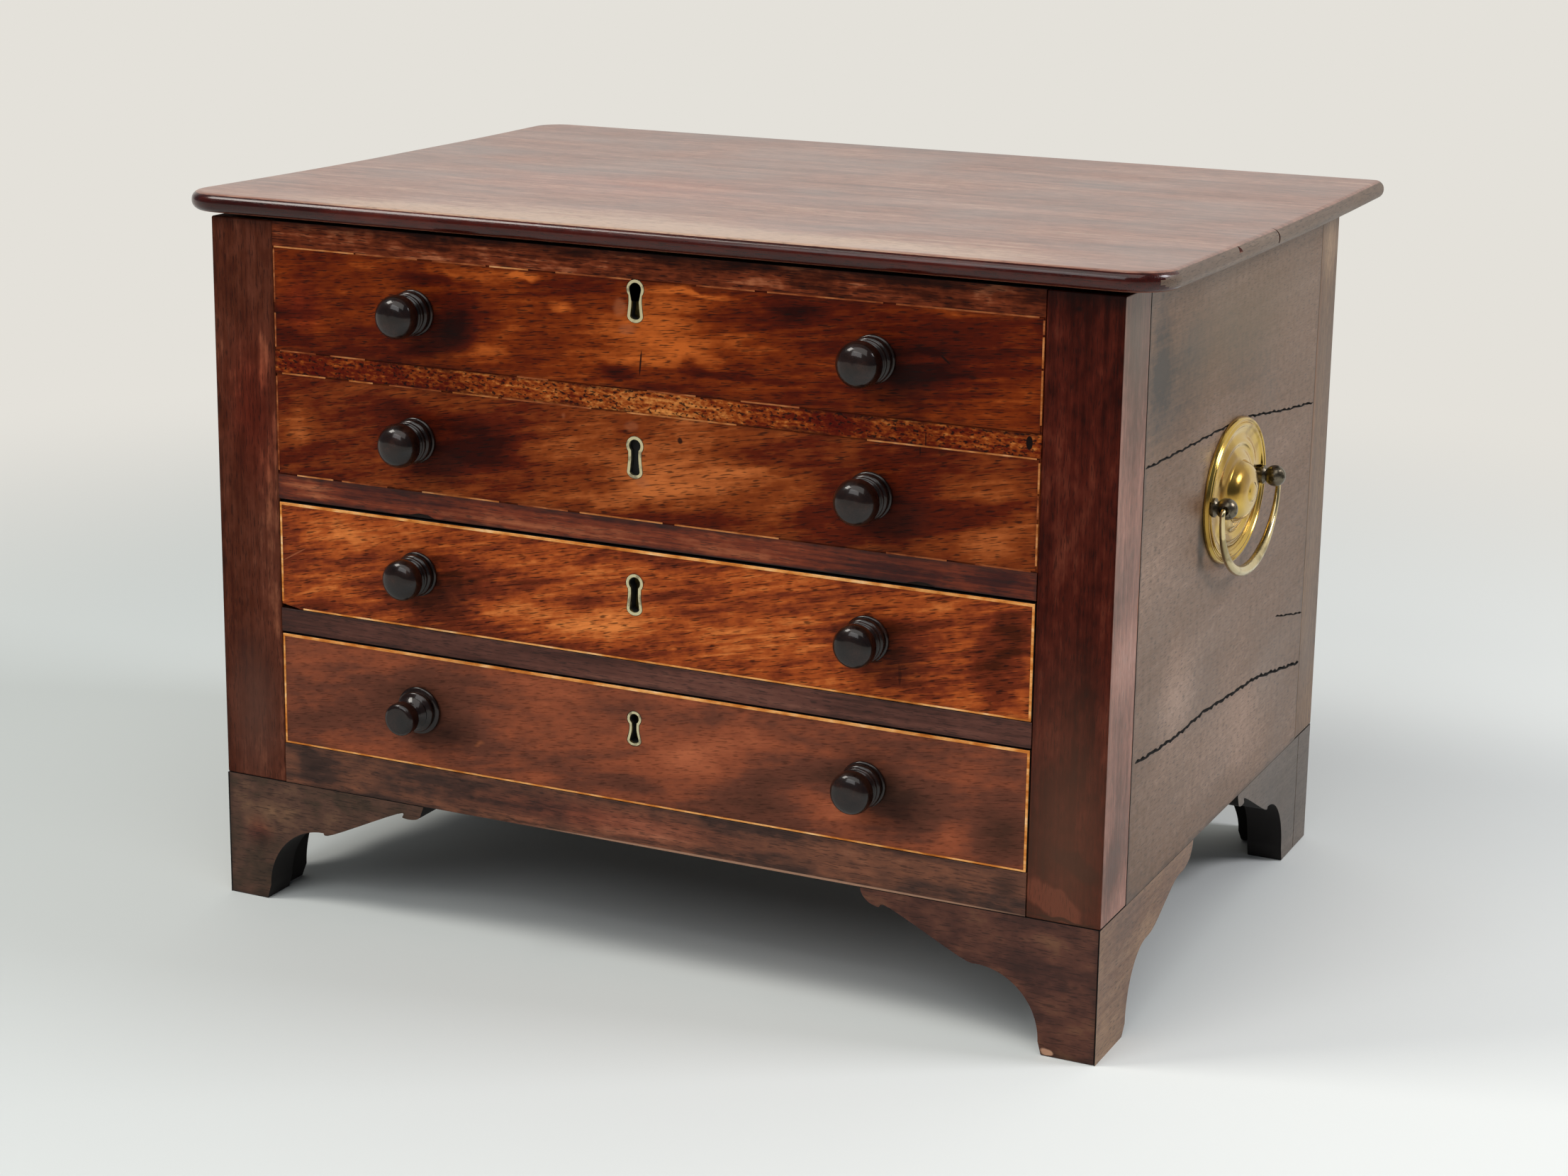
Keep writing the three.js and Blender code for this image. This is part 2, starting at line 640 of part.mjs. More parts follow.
function addCarcass(chest) {
  for (const side of [-1, 1]) {
    place(chest, `${sideName(side)}_front_post`, frontPost(side), mahoganyDark());
    place(chest, `${sideName(side)}_rear_post`, rearPost(side), mahoganyDark());
    place(chest, `${sideName(side)}_side_panel`, sidePanel(side), mahoganySide());
    place(chest, `${sideName(side)}_upper_runner`, runner(side, drawerRailBase, upperSill), deal());
  }
  place(chest, 'back_panel', backPanel(), deal());
  place(chest, 'well_front', wellFront(), mahoganyFront());
  place(chest, 'well_floor', wellFloor(), deal());
  place(chest, 'drawer_rail', drawerRail(), mahoganyDark());
  place(chest, 'bottom_rail', rail(footHeight, bottomRailHeight), mahoganyDark());
  place(chest, 'bottom_board', bottomBoard(), deal());
  addKnobs(chest, 'upper_sham', upperShamBase + upperShamHeight / 2, ballKnob, ballKnob);
  addKnobs(chest, 'lower_sham', lowerShamBase + lowerShamHeight / 2, ballKnob, ballKnob);
  addEscutcheon(chest, 'upper_sham_escutcheon', plainEscutcheon, upperShamKeyZ);
  addEscutcheon(chest, 'lower_sham_escutcheon', plainEscutcheon, lowerShamKeyZ);
  place(chest, 'lid_lock_case', lidLockCase(), brass());
  place(chest, 'lid_lock_bolt', lidLockBolt(), steel());
}

// Bracket feet

// The outline of a bracket: its first coordinate runs away from the corner, its second up from the floor
function bracketOutline(shape, length) {
  const top = footHeight - glueLine;
  const at = ([along, up]) => [along * length, up * top];
  const [startX, startZ] = at(shape.arcStart);
  const [endX, endZ] = at(shape.arcEnd);
  const arc = Array.from({ length: bracketArcSteps + 1 }, (_, i) => {
    const angle = Math.PI / 2 * i / bracketArcSteps;
    return [endX - (endX - startX) * Math.cos(angle), startZ + (endZ - startZ) * Math.sin(angle)];
  });
  const tail = [shape.flat, ...shape.nose].map(at);
  return [[0, 0], [shape.leg * length, 0], ...arc, ...tail, [length, top], [0, top]];
}

// A board along X at one side of the chest
function bracketAcross(side, shape, length, y) {
  const points = bracketOutline(shape, length);
  return frontPrism(outline(points.map(([along, up]) => [side * (halfWidth - along), up])), y);
}

const bracketX = (side) => span(side, halfWidth - bracketThickness, halfWidth);
const bracketHeight = [-cutOverrun, footHeight];

// The front bracket loses the corner behind its mitre
function frontBracket(side, shape) {
  const far = bracketThickness + cutOverrun;
  const mitre = outline([
    [side * (halfWidth - glueLine), 0],
    [side * (halfWidth + cutOverrun), -cutOverrun],
    [side * (halfWidth + cutOverrun), far],
    [side * (halfWidth - glueLine - far), far],
  ]);
  const board = bracketAcross(side, shape, frontBracketLength, [0, bracketThickness]);
  return cut(board, planPrism(mitre, bracketHeight));
}

// The side bracket loses the corner in front of the same mitre
function frontSideBracket(side) {
  const far = bracketThickness + cutOverrun;
  const board = sidePrism(outline(bracketOutline(longBracket, sideBracketLength)), bracketX(side));
  const mitre = outline([
    [side * (halfWidth + cutOverrun), -cutOverrun],
    [side * (halfWidth - far), -cutOverrun],
    [side * (halfWidth - far), far],
  ]);
  return cut(board, planPrism(mitre, bracketHeight));
}

// The side bracket of a back foot butts against the back bracket
function rearSideBracket(side) {
  const end = carcassDepth - backBracketThickness - glueLine;
  const points = bracketOutline(crispBracket, sideBracketLength - backBracketThickness);
  return sidePrism(outline(points.map(([along, up]) => [end - along, up])), bracketX(side));
}

function addFeet(chest) {
  for (const side of [-1, 1]) {
    const name = sideName(side);
    const shape = side > 0 ? wornBracket : crispBracket;
    place(chest, `${name}_front_foot_front`, frontBracket(side, shape), mahoganyDark());
    place(chest, `${name}_front_foot_side`, frontSideBracket(side), mahoganySide());
    place(chest, `${name}_rear_foot_side`, rearSideBracket(side), mahoganySide());
    place(chest, `${name}_rear_foot_back`, bracketAcross(side, plainBracket, backBracketLength,
      [carcassDepth - backBracketThickness, carcassDepth]), deal());
  }
}

// Lid and hinges

// The underside of the cupped board at a distance from the front of the carcass
function lidUnderside(y) {
  return lidBase + lidCup * ((y - lidMiddle) / (lidDepth / 2)) ** 2;
}

// How far a rounded edge or corner draws in at a distance from the edge
function roundInset(radius, distance) {
  const short = Math.max(radius - distance, 0);
  return radius - Math.sqrt(radius ** 2 - short ** 2);
}

// One upright slice across the lid at a distance from its front edge
function lidSlice(fromFront) {
  const fromBack = lidDepth - fromFront;
  const frontInset = roundInset(lidFrontCornerRadius, fromFront);
  const leftHalf = lidHalfWidth - frontInset - roundInset(lidLeftBackCornerRadius, fromBack);
  const rightHalf = lidHalfWidth - frontInset - roundInset(lidRightBackCornerRadius, fromBack);
  const halfThickness = lidThickness / 2 - roundInset(lidEdgeRadius, Math.min(fromFront, fromBack));
  const round = lidRoundShare * halfThickness;
  const y = fromFront - lidFrontOverhang;
  const centre = lidUnderside(y) + lidThickness / 2;
  const points = [];
  for (const [quarter, signX, signZ] of [[0, 1, 1], [1, -1, 1], [2, -1, -1], [3, 1, -1]]) {
    const half = signX > 0 ? rightHalf : leftHalf;
    for (let i = 0; i <= lidArcSteps; i += 1) {
      const angle = Math.PI / 2 * (quarter + i / lidArcSteps);
      points.push(new THREE.Vector3(signX * (half - round) + round * Math.cos(angle), y,
        centre + signZ * (halfThickness - round) + round * Math.sin(angle)));
    }
  }
  return points;
}

const lidLeafZ = lidUnderside(carcassDepth - hingeLeafDepth / 2);
const linkPlateZ = lidUnderside(lidLockY);
const knuckleGap = hingeLength * hingeKnuckleShare / 2;

// The recess for the moving leaf and the round gain that the knuckle turns in
function lidHingeCut(side) {
  const x = around(side * hingeX, hingeLength / 2 + hingeClearance);
  const seat = block(x, [carcassDepth - hingeLeafDepth - glueLine, hingeAxisY],
    [lidBase - cutOverrun, lidLeafZ + hingeLeafThickness + glueLine]);
  const gain = rodAlongX(hingeKnuckleRadius + hingeClearance, x).translate(0, hingeAxisY, hingeAxisZ);
  return seat.add(gain);
}

function lidBoard() {
  const edge = lidEdgeShares.map((share) => share * lidEdgeRadius);
  const front = [...edge, ...lidCornerShares.map((share) => share * lidFrontCornerRadius)];
  const rear = [...edge, ...lidCornerShares.map((share) => share * lidLeftBackCornerRadius)];
  const back = rear.map((distance) => lidDepth - distance).reverse();
  const fieldStart = front.at(-1);
  const fieldStep = (back[0] - fieldStart) / (lidFieldSteps + 1);
  const field = Array.from({ length: lidFieldSteps }, (_, i) => fieldStart + (i + 1) * fieldStep);
  const slices = [...front, ...field, ...back].map(lidSlice).reverse();
  const linkSeat = block(around(0, linkPlateLength / 2 + glueLine),
    around(lidLockY, lockRecess / 2 + glueLine),
    [lidBase - cutOverrun, linkPlateZ + linkPlateThickness + glueLine]);
  return cut(solidOf(loft(slices)), lidHingeCut(-1), lidHingeCut(1), linkSeat);
}

// A plate let into the lid, with two toed links that drop into the lock
function linkPlate() {
  const y = around(lidLockY, linkThickness / 2);
  const plateZ = [linkPlateZ, linkPlateZ + linkPlateThickness];
  const plate = block(around(0, linkPlateLength / 2), around(lidLockY, lockRecess / 2), plateZ);
  const links = [-1, 1].map((side) => joined(
    block([linkPostX(side), linkPostX(side) + linkPostWidth], y, [linkBase, plateZ[1]]),
    block([toeLeft(side), linkPostX(side) + linkPostWidth], y, [linkBase, toeTop])));
  return joined(plate, ...links);
}

// A flat leaf with knuckles on the hinge axis at the given spans of its length
function hingeLeaf(z, knuckles) {
  const plate = block(around(0, hingeLength / 2), [carcassDepth - hingeLeafDepth, carcassDepth], z);
  const barrels = knuckles.map((x) => joined(
    block(x, [carcassDepth - cutOverrun, hingeAxisY], z),
    rodAlongX(hingeKnuckleRadius, x).translate(0, hingeAxisY, hingeAxisZ)));
  return joined(plate, ...barrels);
}

function caseLeaf() {
  const z = [carcassTop - hingeLeafThickness, carcassTop];
  const pin = rodAlongX(hingePinRadius, around(0, hingeLength / 2 - hingeClearance));
  return hingeLeaf(z, [span(-1, knuckleGap, hingeLength / 2), span(1, knuckleGap, hingeLength / 2)])
    .add(pin.translate(0, hingeAxisY, hingeAxisZ));
}

function lidLeaf() {
  const bore = rodAlongX(hingePinRadius + hingeClearance, around(0, hingeLength / 2));
  return hingeLeaf([lidLeafZ, lidLeafZ + hingeLeafThickness], [around(0, knuckleGap - hingeClearance)])
    .subtract(bore.translate(0, hingeAxisY, hingeAxisZ));
}

function addLid(chest) {
  place(chest, 'lid_board', lidBoard(), mahoganyTop());
  place(chest, 'lid_link_plate', linkPlate(), brass());
  for (const side of [-1, 1]) {
    place(chest, `${sideName(side)}_hinge_case_leaf`, caseLeaf(), brass()).position.x = side * hingeX;
    place(chest, `${sideName(side)}_hinge_lid_leaf`, lidLeaf(), brass()).position.x = side * hingeX;
  }
}

// Drawers. Each is modelled from the underside of its front.

// A dovetail on the end of a side, or its socket in the front when grown by the glue line
function dovetail(side, centre, halfRoot, grow) {
  const root = drawerFrontThickness;
  const tip = dovetailLap + glueLine - grow;
  const shape = outline([
    [root + cutOverrun, centre - halfRoot - grow],
    [root, centre - halfRoot - grow],
    [tip, centre - halfRoot - dovetailFlare - grow],
    [tip, centre + halfRoot + dovetailFlare + grow],
    [root, centre + halfRoot + grow],
    [root + cutOverrun, centre + halfRoot + grow],
  ]);
  const overrun = grow > 0 ? cutOverrun : 0;
  return sidePrism(shape, span(side, drawerSideInner - grow, drawerHalfWidth + overrun));
}

function dovetails(side, height, grow) {
  const halfRoot = dovetailShares.halfRoot * height;
  return dovetailShares.centre.map((share) => dovetail(side, share * height, halfRoot, grow));
}

const drawerBottomZ = [drawerBottomLift, drawerBottomLift + drawerBottomThickness];
const bottomGrooveZ = [drawerBottomZ[0] - glueLine, drawerBottomZ[1] + glueLine];
const bottomHalfWidth = drawerSideInner + drawerBottomHousing;

function drawerFront(height, knobZ, plate, keyZ) {
  return cut(block(around(0, drawerHalfWidth), [0, drawerFrontThickness], [0, height]),
    ...[-1, 1].flatMap((side) => dovetails(side, height - drawerSideDrop, glueLine)),
    block(around(0, bottomHalfWidth),
      [drawerFrontThickness - drawerBottomHousing, drawerFrontThickness + cutOverrun], bottomGrooveZ),
    knobHoles(knobZ),
    keyholeCut(plate, keyZ, drawerFrontThickness),
    lockSeat(drawerFrontThickness, height));
}

function drawerSide(side, height) {
  const tall = height - drawerSideDrop;
  const board = block(span(side, drawerSideInner, drawerHalfWidth),
    [drawerFrontThickness + glueLine, drawerDepth], [0, tall]);
  const groove = block(span(side, drawerSideInner - cutOverrun, bottomHalfWidth),
    [0, drawerDepth + cutOverrun], bottomGrooveZ);
  return cut(joined(board, ...dovetails(side, tall, 0)), groove);
}

function drawerBack(height) {
  const back = drawerDepth - drawerBackInset;
  return block(around(0, drawerSideInner - glueLine), [back - drawerBackThickness, back],
    [drawerBottomZ[1] + glueLine, height - drawerBackDrop]);
}

function drawerBottom() {
  return block(around(0, bottomHalfWidth - glueLine),
    [drawerFrontThickness - drawerBottomHousing + glueLine, drawerDepth - drawerBackInset], drawerBottomZ);
}

// One drawer in an opening that starts at a sill, with its lock, knobs and escutcheon
function addDrawer(chest, name, { sill, opening, plate, keyDrop, leftKnob, rightKnob }) {
  const group = new THREE.Group();
  const height = opening - drawerRunClearance - drawerTopClearance;
  const knobZ = opening / 2 - drawerRunClearance;
  const keyZ = opening - drawerRunClearance - keyDrop;
  group.position.z = sill + drawerRunClearance;
  place(group, `${name}_front`, drawerFront(height, knobZ, plate, keyZ), mahoganyFront());
  place(group, `${name}_left_side`, drawerSide(-1, height), deal());
  place(group, `${name}_right_side`, drawerSide(1, height), deal());
  place(group, `${name}_back`, drawerBack(height), deal());
  place(group, `${name}_bottom`, drawerBottom(), deal());
  place(group, `${name}_lock_case`, drawerLockCase(height), brass());
  place(group, `${name}_lock_bolt`, drawerLockBolt(height), steel());
  addKnobs(group, name, knobZ, leftKnob, rightKnob);
  addEscutcheon(group, `${name}_escutcheon`, plate, keyZ);
  chest.add(group);
}

// Carrying handles. Each is modelled from the middle of its plate.

// A piece turned about X that reaches outwards on one side
function turnedOutwards(side, profile, sides) {
  const points = profile.map(([radius, reach]) => new THREE.Vector2(radius, reach));
  const geometry = new THREE.LatheGeometry(points, sides);
  geometry.rotateZ(-side * Math.PI / 2);
  return geometry;
}

// A post with a drilled round head outside the panel and a nut inside it
function handlePost(side) {
  const nutBack = -sidePanelThickness - glueLine - postNutThickness;
  const head = Array.from({ length: postHeadSteps }, (_, i) => {
    const angle = Math.PI * (i + 1) / (postHeadSteps + 1);
    return [postHeadRadius * Math.sin(angle), postReach - postHeadRadius * Math.cos(angle)];
  }).filter(([radius]) => radius > postRadius);
  const profile = [[0, nutBack], [postNutRadius, nutBack], [postNutRadius, nutBack + postNutThickness],
    [postRadius, nutBack + postNutThickness], [postRadius, postReach - postHeadRadius], ...head,
    [0, postReach + postHeadRadius]];
  return solidOf(turnedOutwards(side, profile, postSides));
}

function handlePlate(side) {
  const ring = (share, reach) => [share * plateHalfLength, reach];
  const { rimEdge, rimTop, dish, shoulder, boss, nub } = plateProfile;
  const profile = [[0, glueLine], ring(1, glueLine), ring(1, rimEdge), ring(plateShares.rimTop, rimTop),
    ring(plateShares.rimInner, rimTop), ring(plateShares.dish, dish), ring(plateShares.shoulder, shoulder),
    ring(plateShares.boss, boss), ring(plateShares.nub, nub), [0, nub]];
  const oval = turnedOutwards(side, profile, plateSides).scale(1, 1, plateHalfHeight / plateHalfLength);
  const posts = [-1, 1].map((end) => handlePost(side).translate(0, end * postSpacing / 2, 0));
  const eyeRadius = bailEndRadius + bailEyeClearance;
  const bore = new THREE.CylinderGeometry(eyeRadius, eyeRadius, 2 * plateHalfLength, postSides);
  bore.translate(side * postReach, 0, 0);
  return cut(joined(...posts), solidOf(bore)).add(solidOf(oval));
}

// The middle line of a bail, from one end in its post, round the hanging loop, to the other
function bailPath() {
  const corner = bailCornerRadius;
  const half = Array.from({ length: bailSteps + 1 }, (_, i) => {
    const angle = Math.PI / 2 * i / bailSteps;
    return [bailHalfWidth * Math.cos(angle), -corner - (bailDrop - corner) * Math.sin(angle)];
  });
  const bend = Array.from({ length: bailBendSteps }, (_, i) => {
    const angle = Math.PI / 2 * i / bailBendSteps;
    return [bailHalfWidth - corner + corner * Math.sin(angle), corner * Math.cos(angle) - corner];
  });
  const right = [[postSpacing / 2 - bailEndDepth, 0], ...bend, ...half];
  const left = right.slice(0, -1).reverse().map(([y, z]) => [-y, z]);
  return [...right, ...left].map(([y, z]) => new THREE.Vector3(0, y, z));
}

// The loop swells from its ends to the middle of its grip
function bail(side) {
  const path = bailPath();
  const across = new THREE.Vector3(1, 0, 0);
  const rings = path.map((point, i) => {
    const ahead = path[Math.min(i + 1, path.length - 1)];
    const behind = path[Math.max(i - 1, 0)];
    const along = ahead.clone().sub(behind).normalize();
    const inward = along.clone().cross(across);
    const radius = bailEndRadius + (bailBottomRadius - bailEndRadius) * (point.z / bailDrop) ** 2;
    return Array.from({ length: bailSides }, (_, j) => {
      const angle = 2 * Math.PI * j / bailSides;
      return point.clone().addScaledVector(across, side * postReach + radius * Math.cos(angle))
        .addScaledVector(inward, radius * Math.sin(angle));
    });
  });
  return loft(rings);
}

function addHandles(chest) {
  for (const side of [-1, 1]) {
    for (const [name, shape] of [['plate', handlePlate(side)], ['bail', bail(side)]]) {
      const mesh = place(chest, `${sideName(side)}_handle_${name}`, shape, brass());
      mesh.position.set(side * halfWidth, handleY, handleZ);
    }
  }
}

// The chest, moved so that the middle of its outer sizes is over the origin
const chest = new THREE.Group();
chest.position.y = (ballKnobReach + glueLine - carcassDepth - lidBackOverhang) / 2;
addCarcass(chest);
addFeet(chest);
addLid(chest);
addDrawer(chest, 'upper_drawer', {
  sill: upperSill,
  opening: upperOpeningHeight,
  plate: plainEscutcheon,
  keyDrop: upperDrawerKeyDrop,
  leftKnob: flatKnob,
  rightKnob: flatKnob,
});
addDrawer(chest, 'lower_drawer', {
  sill: lowerSill,
  opening: lowerOpeningHeight,
  plate: flaredEscutcheon,
  keyDrop: lowerDrawerKeyDrop,
  leftKnob: buttonKnob,
  rightKnob: flatKnob,
});
addHandles(chest);

export default chest;
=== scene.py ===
"""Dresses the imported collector's chest: old mahogany, boxwood lines, turned knobs and pressed brass."""

import logging
import math
from collections.abc import Callable, Iterable, Sequence
from dataclasses import dataclass, replace
from enum import Enum

import bmesh
import bpy
from mathutils import Matrix, Vector

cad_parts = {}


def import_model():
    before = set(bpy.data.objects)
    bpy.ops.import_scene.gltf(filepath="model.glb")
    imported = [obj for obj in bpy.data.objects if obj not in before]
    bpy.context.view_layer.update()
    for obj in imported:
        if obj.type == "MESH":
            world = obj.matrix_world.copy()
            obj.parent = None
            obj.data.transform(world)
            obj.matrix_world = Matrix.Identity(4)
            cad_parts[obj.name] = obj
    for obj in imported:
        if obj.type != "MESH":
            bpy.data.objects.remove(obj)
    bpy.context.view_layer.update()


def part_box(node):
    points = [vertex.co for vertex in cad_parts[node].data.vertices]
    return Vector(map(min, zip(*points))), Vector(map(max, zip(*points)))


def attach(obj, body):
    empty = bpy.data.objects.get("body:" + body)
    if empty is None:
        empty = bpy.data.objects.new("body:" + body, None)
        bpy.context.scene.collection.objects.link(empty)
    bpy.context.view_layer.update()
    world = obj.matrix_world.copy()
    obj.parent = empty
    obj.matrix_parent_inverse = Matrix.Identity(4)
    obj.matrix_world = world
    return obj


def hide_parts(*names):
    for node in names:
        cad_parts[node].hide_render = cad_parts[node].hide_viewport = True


log = logging.getLogger("chest")

MM = 0.001
# Half of a mark's depth through the chest in millimetres, which is more than the chest is deep
FAR = 1000.0
# How deep the relief of wood and of metal goes, in metres
WOOD_DEPTH = 0.15 * MM
METAL_DEPTH = 0.1 * MM
# How far the outline of a ragged mark wanders, in millimetres
WANDER = 6.0
# Where a wood's four tones stand between the darkest and the lightest of its figure
TONE_STOPS = (0.0, 0.36, 0.62, 1.0)
# How high the noise of the pores is where they begin and where they are full
PORE_START, PORE_FULL = 0.55, 0.68

Point = tuple[float, float]
Corner = Sequence[float]
Value = bpy.types.NodeSocket | float | Sequence[float]


def linear(colour: str) -> tuple[float, float, float, float]:
    """Turns an sRGB hex colour into linear RGBA."""
    parts = [int(colour[i : i + 2], 16) / 255 for i in (1, 3, 5)]
    red, green, blue = (c / 12.92 if c <= 0.04045 else ((c + 0.055) / 1.055) ** 2.4 for c in parts)
    return red, green, blue, 1.0


def metres(lengths: Iterable[float]) -> tuple[float, ...]:
    """Turns millimetres into metres."""
    return tuple(length * MM for length in lengths)


def add_node(tree: bpy.types.NodeTree, kind: str, settings: dict | None = None, inputs: dict | None = None):
    """Adds one node to a tree.

    Args:
        tree: the node tree.
        kind: the node's type name.
        settings: its properties; "stops" holds the (place, hex colour) stops of a ramp.
        inputs: values or sockets for its inputs, by name or number.

    Returns:
        The new node.
    """
    node = tree.nodes.new(kind)
    for name, value in (settings or {}).items():
        if name == "stops":
            ramp = node.color_ramp
            while len(ramp.elements) < len(value):
                ramp.elements.new(1.0)
            for element, (place, colour) in zip(ramp.elements, value):
                element.position, element.color = place, linear(colour)
        else:
            setattr(node, name, value)
    for key, value in (inputs or {}).items():
        if isinstance(value, bpy.types.NodeSocket):
            tree.links.new(value, node.inputs[key])
        else:
            node.inputs[key].default_value = value
    return node


def calculate(tree: bpy.types.NodeTree, operation: str, *values: Value) -> bpy.types.NodeSocket:
    """Adds a sum on numbers and returns its result."""
    return add_node(tree, "ShaderNodeMath", {"operation": operation}, dict(enumerate(values))).outputs[0]


def combine(tree: bpy.types.NodeTree, operation: str, *values: Value) -> bpy.types.NodeSocket:
    """Adds a sum on vectors and returns its result, which is a number for a length."""
    node = add_node(tree, "ShaderNodeVectorMath", {"operation": operation}, dict(enumerate(values)))
    return node.outputs["Value" if operation == "LENGTH" else 0]


def fade(tree: bpy.types.NodeTree, value: Value, start: float, end: float, low: float = 0.0,
         high: float = 1.0, curve: str = "SMOOTHSTEP") -> bpy.types.NodeSocket:
    """Adds a fade from low, where the value is at start, to high, where it is at end."""
    return add_node(tree, "ShaderNodeMapRange", {"interpolation_type": curve},
                    {"Value": value, "From Min": start, "From Max": end, "To Min": low,
                     "To Max": high}).outputs[0]


def blend(tree: bpy.types.NodeTree, share: Value, first: Value, second: Value,
          mode: str = "MIX") -> bpy.types.NodeSocket:
    """Adds a mix of two colours."""
    return add_node(tree, "ShaderNodeMix", {"data_type": "RGBA", "blend_type": mode},
                    {0: share, 6: first, 7: second}).outputs[2]


def background_rays(tree: bpy.types.NodeTree) -> bpy.types.NodeSocket:
    """Adds the nodes that give 1 for the rays that show the background and 0 for those that light."""
    rays = add_node(tree, "ShaderNodeLightPath")
    seen = rays.outputs["Is Camera Ray"]
    for name in ("Is Glossy Ray", "Is Transmission Ray"):
        seen = calculate(tree, "MAXIMUM", seen, rays.outputs[name])
    return seen


def new_material(name: str) -> tuple[bpy.types.Material, bpy.types.NodeTree]:
    """Makes an empty node material and returns it with its tree."""
    material = bpy.data.materials.new(name)
    material.use_nodes = True
    material.node_tree.nodes.clear()
    return material, material.node_tree


def add_shader(tree: bpy.types.NodeTree, inputs: dict) -> None:
    """Ends a material's tree in one shader with the given inputs."""
    shader = add_node(tree, "ShaderNodeBsdfPrincipled", {}, inputs)
    add_node(tree, "ShaderNodeOutputMaterial", {}, {"Surface": shader.outputs[0]})


class Grain(Enum):
    """The axis that the grain of a board follows."""

    ACROSS = 0
    DEEP = 1
    UPRIGHT = 2

    def size(self, along: float, across: float) -> tuple[float, ...]:
        """The size in metres of a pattern stretched along the grain."""
        sizes = [across] * 3
        sizes[self.value] = along
        return metres(sizes)


class Face(Enum):
    """A face of the chest that marks lie on, by the two axes that it spans."""

    FRONT = (0, 2)
    SIDE = (1, 2)
    TOP = (0, 1)


class Effect(Enum):
    """What a mark does to the wood."""

    TONE = "shifts the wood's own tone"
    RED = "turns it towards the red of young polish"
    # The same effect also paints shadow: round the knobs, beside the handle's plate and along the gap above
    # the upper drawer
    GRIME_AND_SHADE = "covers it with old dark polish and dirt"
    BARE = "rubs the polish away"


@dataclass(frozen=True)
class Mark:
    """One soft spot, patch or line on a face, in millimetres in the chest's frame."""

    effect: Effect
    face: Face
    centre: Point
    half: Point
    strength: float = 1.0
    turn: float = 0.0
    soft: float = 1.0
    ragged: bool = True

    def mask(self, tree: bpy.types.NodeTree, place: bpy.types.NodeSocket) -> bpy.types.NodeSocket:
        """Adds the nodes that give the mark's strength at each place."""
        first, second = self.face.value
        centre, half, turn = [0.0] * 3, [FAR] * 3, [0.0] * 3
        centre[first], centre[second] = self.centre
        half[first], half[second] = self.half
        normal = 3 - first - second
        turn[normal] = math.radians(-self.turn if normal == 1 else self.turn)
        local = add_node(tree, "ShaderNodeMapping", {"vector_type": "TEXTURE"},
                         {"Vector": place, "Location": metres(centre), "Rotation": turn,
                          "Scale": metres(half)})
        flat = [1.0, 1.0, 1.0]
        flat[normal] = 0.0
        away = combine(tree, "LENGTH", combine(tree, "MULTIPLY", local.outputs[0], flat))
        return fade(tree, away, 1.0, 1.0 - self.soft, 0.0, self.strength)


@dataclass(frozen=True)
class Edge:
    """Wear or dirt along the edges of a board's face."""

    effect: Effect
    face: Face
    low: Point
    high: Point
    width: float
    strength: float

    def mask(self, tree: bpy.types.NodeTree, place: bpy.types.NodeSocket) -> bpy.types.NodeSocket:
        """Adds the nodes that give the strength by the distance from the nearest edge."""
        middle, half = [0.0] * 3, [FAR] * 3
        for axis, low, high in zip(self.face.value, self.low, self.high):
            middle[axis], half[axis] = (low + high) / 2, (high - low) / 2
        offset = combine(tree, "ABSOLUTE", combine(tree, "SUBTRACT", place, metres(middle)))
        room = combine(tree, "SUBTRACT", metres(half), offset)
        parts = add_node(tree, "ShaderNodeSeparateXYZ", {}, {0: room})
        nearest = calculate(tree, "MINIMUM", *(parts.outputs[axis] for axis in self.face.value))
        return fade(tree, nearest, self.width * MM, 0.0, 0.0, self.strength)


@dataclass(frozen=True)
class Layer:
    """One noise in a wood: its size along and across the grain in millimetres, and its weight."""

    along: float
    across: float
    weight: float
    detail: float = 3.0
    twist: float = 0.0


